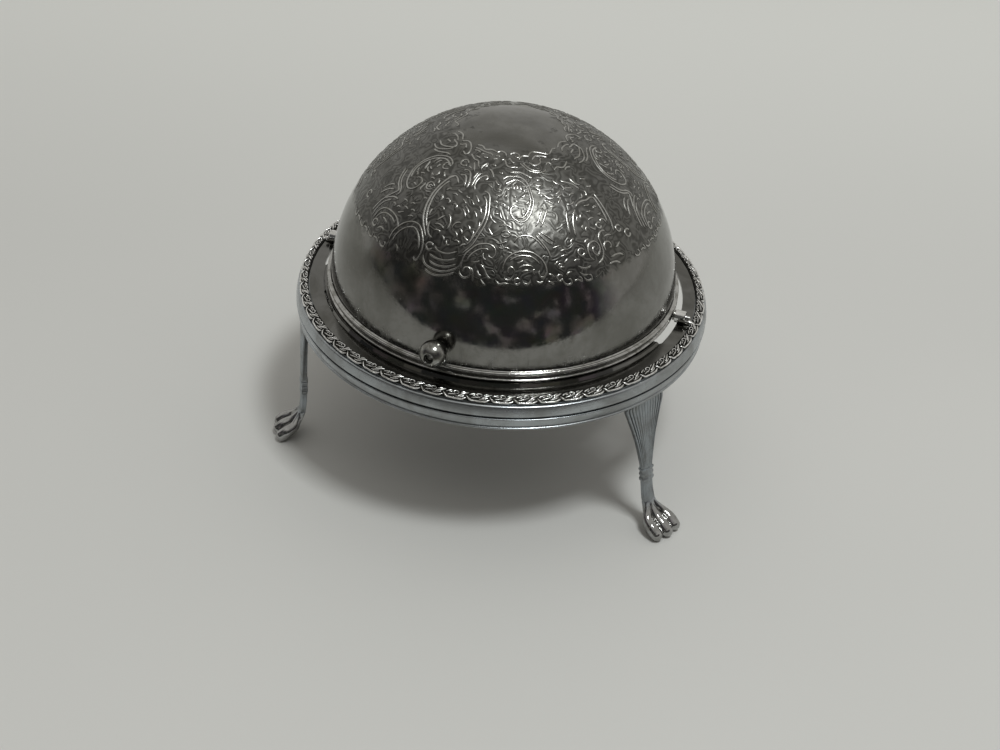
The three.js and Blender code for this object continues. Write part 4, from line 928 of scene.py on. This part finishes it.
def lofted(outlines):
    """A closed skin over a stack of outlines. It keeps each point's fourth value as "hollow", the flute depth
    that the leg's material darkens as painted shade.
    """
    shape = bmesh.new()
    flute_shade = shape.verts.layers.float.new("flute_shade")
    rings = []
    for outline in outlines:
        points = []
        for *place, share in outline:
            points.append(shape.verts.new(place))
            points[-1][flute_shade] = share
        rings.append([shape.edges.new(pair) for pair in zip(points, points[1:] + points[:1])])
    for pair in zip(rings, rings[1:]):
        bmesh.ops.bridge_loops(shape, edges=[*pair[0], *pair[1]])
    for ring in (rings[0], rings[-1]):
        bmesh.ops.contextual_create(shape, geom=ring)
    bmesh.ops.recalc_face_normals(shape, faces=shape.faces)
    return shape


def toe(i):
    """One toe, from the shin over its knuckle to the rounded tip."""
    side = i - (TOES - 1) / 2
    across = side * (PAW_WIDTH - 5) / (TOES - 1)
    tip = TOE_REACH - 2.8 - 0.8 * abs(side)
    return smooth([
        (leg_middle(11.5) + 1.3, 0.35 * across, 11.5, 0.5), (leg_middle(8.8) + 2.5, 0.55 * across, 8.8, 1.3),
        (tip - 5.4, 0.85 * across, 6.1, 2), (tip - 2.4, across, 4.3, 2.4), (tip, across, 2.6, 2.45),
        (tip + 1, across, 2.5, 2.25), (tip + 1.9, across, 2.4, 1.5), (tip + 2.4, across, 2.4, 0.3),
    ], 0.5)


def fused(parts):
    """Melts closed shapes into one smooth skin."""
    mesh = bpy.data.meshes.new("parts")
    whole = bmesh.new()
    for part in parts:
        part.to_mesh(mesh)
        part.free()
        whole.from_mesh(mesh)
    whole.to_mesh(mesh)
    whole.free()
    lump = bpy.data.objects.new("parts", mesh)
    bpy.context.scene.collection.objects.link(lump)
    skin = lump.modifiers.new("skin", "REMESH")
    skin.mode = "VOXEL"
    skin.voxel_size = 0.2
    soft = lump.modifiers.new("soft", "SMOOTH")
    soft.factor = 0.5
    soft.iterations = 9
    return evaluated(lump)


def leg(name, angle):
    """A leg in its three parts: the fluted shank, the paw and the tab that is soldered behind the band."""
    lean = Matrix.Identity(4)
    for axis, slide in enumerate(LEG_LEAN):
        lean[axis][2], lean[axis][3] = -slide / LEG_TOP, slide
    stand = Matrix.Rotation(math.radians(angle), 4, "Z"), lean
    shank = moved(lofted([leg_outline(level) for level in smooth(SHANK_LEVELS, 0.7)]), *stand)
    finished(shank, name.replace("leg", "shank"), "frame", SILVER_LEG, [name])
    shin = lofted([leg_outline(level, 24) for level in smooth(PAW_LEVELS, 0.7)])
    toes = strands([toe(i) for i in range(TOES)], 16)
    pad = bmesh.new()
    bmesh.ops.create_uvsphere(pad, u_segments=24, v_segments=12, radius=1)
    moved(pad, Matrix.Translation((TOE_REACH - 5.8, 0, 2.5)) @ Matrix.Diagonal((4.2, 5.2, 1.9, 1)))
    paw = moved(fused([shin, toes, pad]), *stand)
    finished(paw, name.replace("leg", "paw"), "frame", SILVER_PAW, sharp=180)
    tab = moved(block((2.2, 12, 8), (LEG_RADIUS - 1.7, 0, LEG_TOP + 1)), *stand)
    finished(tab, name.replace("leg", "tab"), "frame", SOLDER)


# Cover

def cover():
    """The thin dome, and the double bead round its edge."""
    inside = DOME_RADIUS - DOME_WALL
    shell = spun([
        *arc(0, 0, DOME_RADIUS, 90, 0, 60), (DOME_RADIUS, -1.4),
        (inside, -1.4), *arc(0, 0, inside, 0, 90, 30),
    ], 240, closed=False)
    finished(raised(shell, PIVOT), "dome_shell", "cover", SILVER_DOME, ["cover_dome"])
    bead = spun([
        (68.0, -1.4), (68.9, -1.4), *arc(68.85, -1.0, 0.4, -70, 80, 6),
        (68.6, -0.45), (68.5, 0.5), *arc(68.55, 1.5, 0.75, -55, 100, 10),
        (68.25, 2.3), (68.1, 2.4), (68.0, 2.7),
    ], 240)
    finished(raised(bead, PIVOT), "dome_bead", "cover", SILVER_BRIGHT, ["cover_rim_bead"])


def on_line(shape, direction):
    """Lays a shape turned about Z along a line from the middle of the dome."""
    turn = Vector((0, 0, 1)).rotation_difference(Vector(direction)).to_matrix().to_4x4()
    return moved(shape, turn, Matrix.Translation((0, 0, PIVOT)))


def knob():
    """A turned ball with a sunk end, on a low collar."""
    rise, side = math.radians(KNOB_RISE), math.radians(KNOB_SIDE)
    line = (math.cos(side) * math.cos(rise), math.sin(side) * math.cos(rise), math.sin(rise))
    middle = 73.8
    hole = 1.05
    sink = 1.7
    sink_bottom = 75.4
    ball = spun([
        (hole, 69.05), *arc(0, middle, 5, -71.8, 65.5, 24),
        (1.85, middle + 4.5), (sink, middle + 4.25), (sink, sink_bottom), (hole, sink_bottom),
    ], 72)
    finished(on_line(ball, line), "knob_turned", "cover", SILVER_KNOB, ["knob_ball"])
    collar = spun([
        (hole, 68.1), (2.2, 68.1), (2.2, 68.3), (1.85, 68.42), (2.1, 68.6), (2.1, 68.75), (hole, 68.75),
    ], 48)
    finished(on_line(collar, line), "knob_collar", "cover", SILVER_KNOB, ["knob_ferrule"])


def pivots():
    """A sleeve on a thin web, with an arm that is soldered to the border."""
    lug_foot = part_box("pivot_lug_right")[0].z * 1000
    bore = 0.86
    for side, turn in (("right", 1), ("left", -1)):
        line = (turn, 0, 0)
        sleeve = spun([
            (bore, 70.07), (2.0, 70.07), (2.3, 70.35), (2.3, 73.95), (2.05, 74.27), (bore, 74.27),
        ], 40)
        finished(on_line(sleeve, line), f"sleeve_{side}", "frame", SILVER_SLEEVE,
                 [f"pivot_barrel_{side}"])
        pin = spun([
            (0, 64.9), (0.6, 64.9), (0.8, 65.3), (0.8, 75.7), (0.65, 76.1), (0, 76.3),
        ], 28, closed=False)
        finished(on_line(pin, line), f"pin_{side}", "cover", STEEL, [f"pivot_pin_{side}"])
        web = block((4, 1.5, PIVOT - lug_foot - 1.4), (72.2 * turn, 0, (PIVOT + lug_foot) / 2 - 0.7))
        finished(web, f"lug_web_{side}", "frame", SOLDER, [f"pivot_lug_{side}"])
        arm = strands([smooth([
            (73.2 * turn, 0, PIVOT - 1.7, 0.9), (74.6 * turn, 0.2, PIVOT - 1.9, 1),
            (75.8 * turn, 0.3, PIVOT - 2.2, 1), (77 * turn, 0.4, SHELF + 1.1, 0.9),
            (78.1 * turn, 0.5, SHELF + 0.8, 0.5),
        ], 0.4)], 12)
        finished(arm, f"lug_arm_{side}", "frame", SILVER_LEAF)
        washer = spun([
            (bore, 69.45), (2.0, 69.45), (2.1, 69.55), (2.1, 69.85), (2.0, 69.95), (bore, 69.95),
        ], 32)
        finished(on_line(washer, line), f"washer_{side}", "cover", SILVER_BRIGHT,
                 [f"pivot_washer_{side}"])


def liner():
    """A flat-bottomed glass bowl that hangs by its lip."""
    bowl = spun([
        (0, 49), (42.5, 49), (44.6, 49.3), (46.6, 50.6), (47.4, 52.2), (56.3, 69.4), (56.7, 70.4),
        *arc(58, 70.3, 0.9, 150, 90, 4), *arc(60.9, 70.3, 0.9, 90, -30, 6), (61.4, 69.3), (61.2, 69.0),
        (59.4, 69.0), (47.2, 48.4), (46.2, 47), (45, 46), (42, 46), (41, 46.8), (0, 46.8),
    ], 192, closed=False)
    finished(bowl, "glass_bowl", "liner", GLASS, ["glass_liner"])


ring_band()
leaf_border()
cover()
engraving()
knob()
pivots()
liner()
for name, angle in LEG_ANGLES.items():
    leg(name, angle)

CAD_FINISHES = {
    "tray_plate": SILVER_TRAY, "knob_rivet": STEEL, "knob_nut": STEEL,
    "pivot_nut_right": STEEL, "pivot_nut_left": STEEL,
}
for name, material in CAD_FINISHES.items():
    mesh = nodes[name].data
    mesh.materials.clear()
    mesh.materials.append(material)


# Floor, light and camera

def floor():
    """A board that ends between the dish and the camera and reaches far behind the dish."""
    half_width, half_depth, back = 2.5, 1.75, 1.39
    shape = bmesh.new()
    bmesh.ops.create_grid(shape, x_segments=1, y_segments=1, size=1)
    bmesh.ops.scale(shape, vec=(half_width, half_depth, 1), verts=shape.verts)
    bmesh.ops.translate(shape, vec=(0, back, 0), verts=shape.verts)
    bmesh.ops.rotate(shape, matrix=Matrix.Rotation(math.radians(CAMERA_SIDE + 90), 3, "Z"), verts=shape.verts)
    mesh = bpy.data.meshes.new("floor")
    shape.to_mesh(mesh)
    shape.free()
    mesh.materials.append(table_top())
    plane = bpy.data.objects.new("floor", mesh)
    bpy.context.scene.collection.objects.link(plane)


def lamp(name, side, rise, distance, size, power):
    """A soft square lamp that faces the dish. side and rise are degrees."""
    light = bpy.data.lights.new(name, "AREA")
    light.size = size
    light.energy = power
    light.color = (0.96, 0.99, 1)
    source = bpy.data.objects.new(name, light)
    a, e = math.radians(side), math.radians(rise)
    away = Vector((math.cos(a) * math.cos(e), math.sin(a) * math.cos(e), math.sin(e)))
    source.location = Vector((RING_MIDDLE.x, RING_MIDDLE.y, 0.08)) + away * distance
    source.rotation_euler = away.to_track_quat("Z", "Y").to_euler()
    bpy.context.scene.collection.objects.link(source)


def room():
    """A grey ceiling over darker walls, darkest on the camera's side.

    Where the camera sees it directly or through glass it is one pale grey, like the floor.
    """
    world = bpy.data.worlds.new("room")
    bpy.context.scene.world = world
    world.use_nodes = True
    tree = world.node_tree
    shade = tree.nodes["Background"]
    direction = Wire(new_node(tree, "TexCoord").outputs["Generated"])
    rise = Wire(new_node(tree, "SeparateXYZ", inputs={0: direction}).outputs[2])
    a = math.radians(CAMERA_SIDE - 14)
    front = new_node(tree, "VectorMath", {"operation": "DOT_PRODUCT"},
                     {0: direction, 1: (math.cos(a), math.sin(a), 0)})
    front = Wire(front.outputs["Value"])
    noise = new_node(tree, "TexNoise",
                     inputs={"Vector": direction, "Scale": 4.5, "Detail": 3, "Distortion": 0.6})
    shapes, tint = (Wire(output) for output in noise.outputs)
    near = (front + 0.4 * shapes).above(0.05, 0.5)
    walls = 0.58 * (1 - near) + near * (0.075 + 0.22 * shapes.above(0.52, 0.6))
    ceiling = 0.31 + 0.46 * shapes
    up = (rise - 0.36 * near).above(0.18, 0.48)
    ray = new_node(tree, "LightPath").outputs
    seen = Wire(ray["Is Camera Ray"]) + Wire(ray["Is Transmission Ray"])
    level = (walls * (1 - up) + ceiling * up) * (1 - seen) + 0.53 * seen
    tinted = near * (1 - up) * (1 - seen) * 0.6
    colour = new_node(tree, "Mix", {"data_type": "RGBA"}, {0: tinted, 6: (1, 0.985, 0.94, 1), 7: tint})
    put(shade.inputs["Color"], Wire(colour.outputs[2]))
    put(shade.inputs["Strength"], level)


def camera():
    """The photograph's own viewpoint, from the ring's and the dome's outlines."""
    focal = 1600  # pixels, in a picture of 1000 by 750
    ring_x, ring_y = 502.79, 282.96  # pixels, where the middle of the shelf is seen
    distance = 0.63634
    rise = math.radians(32.824)
    roll = math.radians(-3.763)
    place = Vector((0, -distance * math.cos(rise), distance * math.sin(rise)))
    ahead = -place.normalized()
    right = Vector((1, 0, 0))
    up = right.cross(ahead)
    across, down = (ring_x - 500) / focal, -(ring_y - 375) / focal
    pan = Matrix.Rotation(math.atan(across), 3, up)
    ahead, right = pan @ ahead, pan @ right
    tilt = Matrix.Rotation(-math.atan(down * math.cos(math.atan(across))), 3, right)
    ahead, up = tilt @ ahead, tilt @ up
    twist = Matrix.Rotation(roll, 3, -place.normalized())
    ahead, up, right = twist @ ahead, twist @ up, twist @ right
    turn = Matrix.Rotation(math.radians(CAMERA_SIDE + 90), 4, "Z")
    eye = Matrix((right, up, -ahead)).transposed().to_4x4()
    lens = bpy.data.cameras.new("camera")
    lens.lens = focal * 36 / 1000
    lens.sensor_width = 36
    lens.clip_start = 0.01
    view = bpy.data.objects.new("camera", lens)
    middle = Vector((RING_MIDDLE.x, RING_MIDDLE.y, SHELF / 1000))
    view.matrix_world = Matrix.Translation(middle) @ turn @ Matrix.Translation(place) @ eye
    bpy.context.scene.collection.objects.link(view)
    bpy.context.scene.camera = view


floor()
room()
camera()
lamp("key_lamp", side=-33, rise=68.6, distance=1.5, size=0.3, power=10.6)
bpy.context.scene.view_settings.view_transform = "Standard"
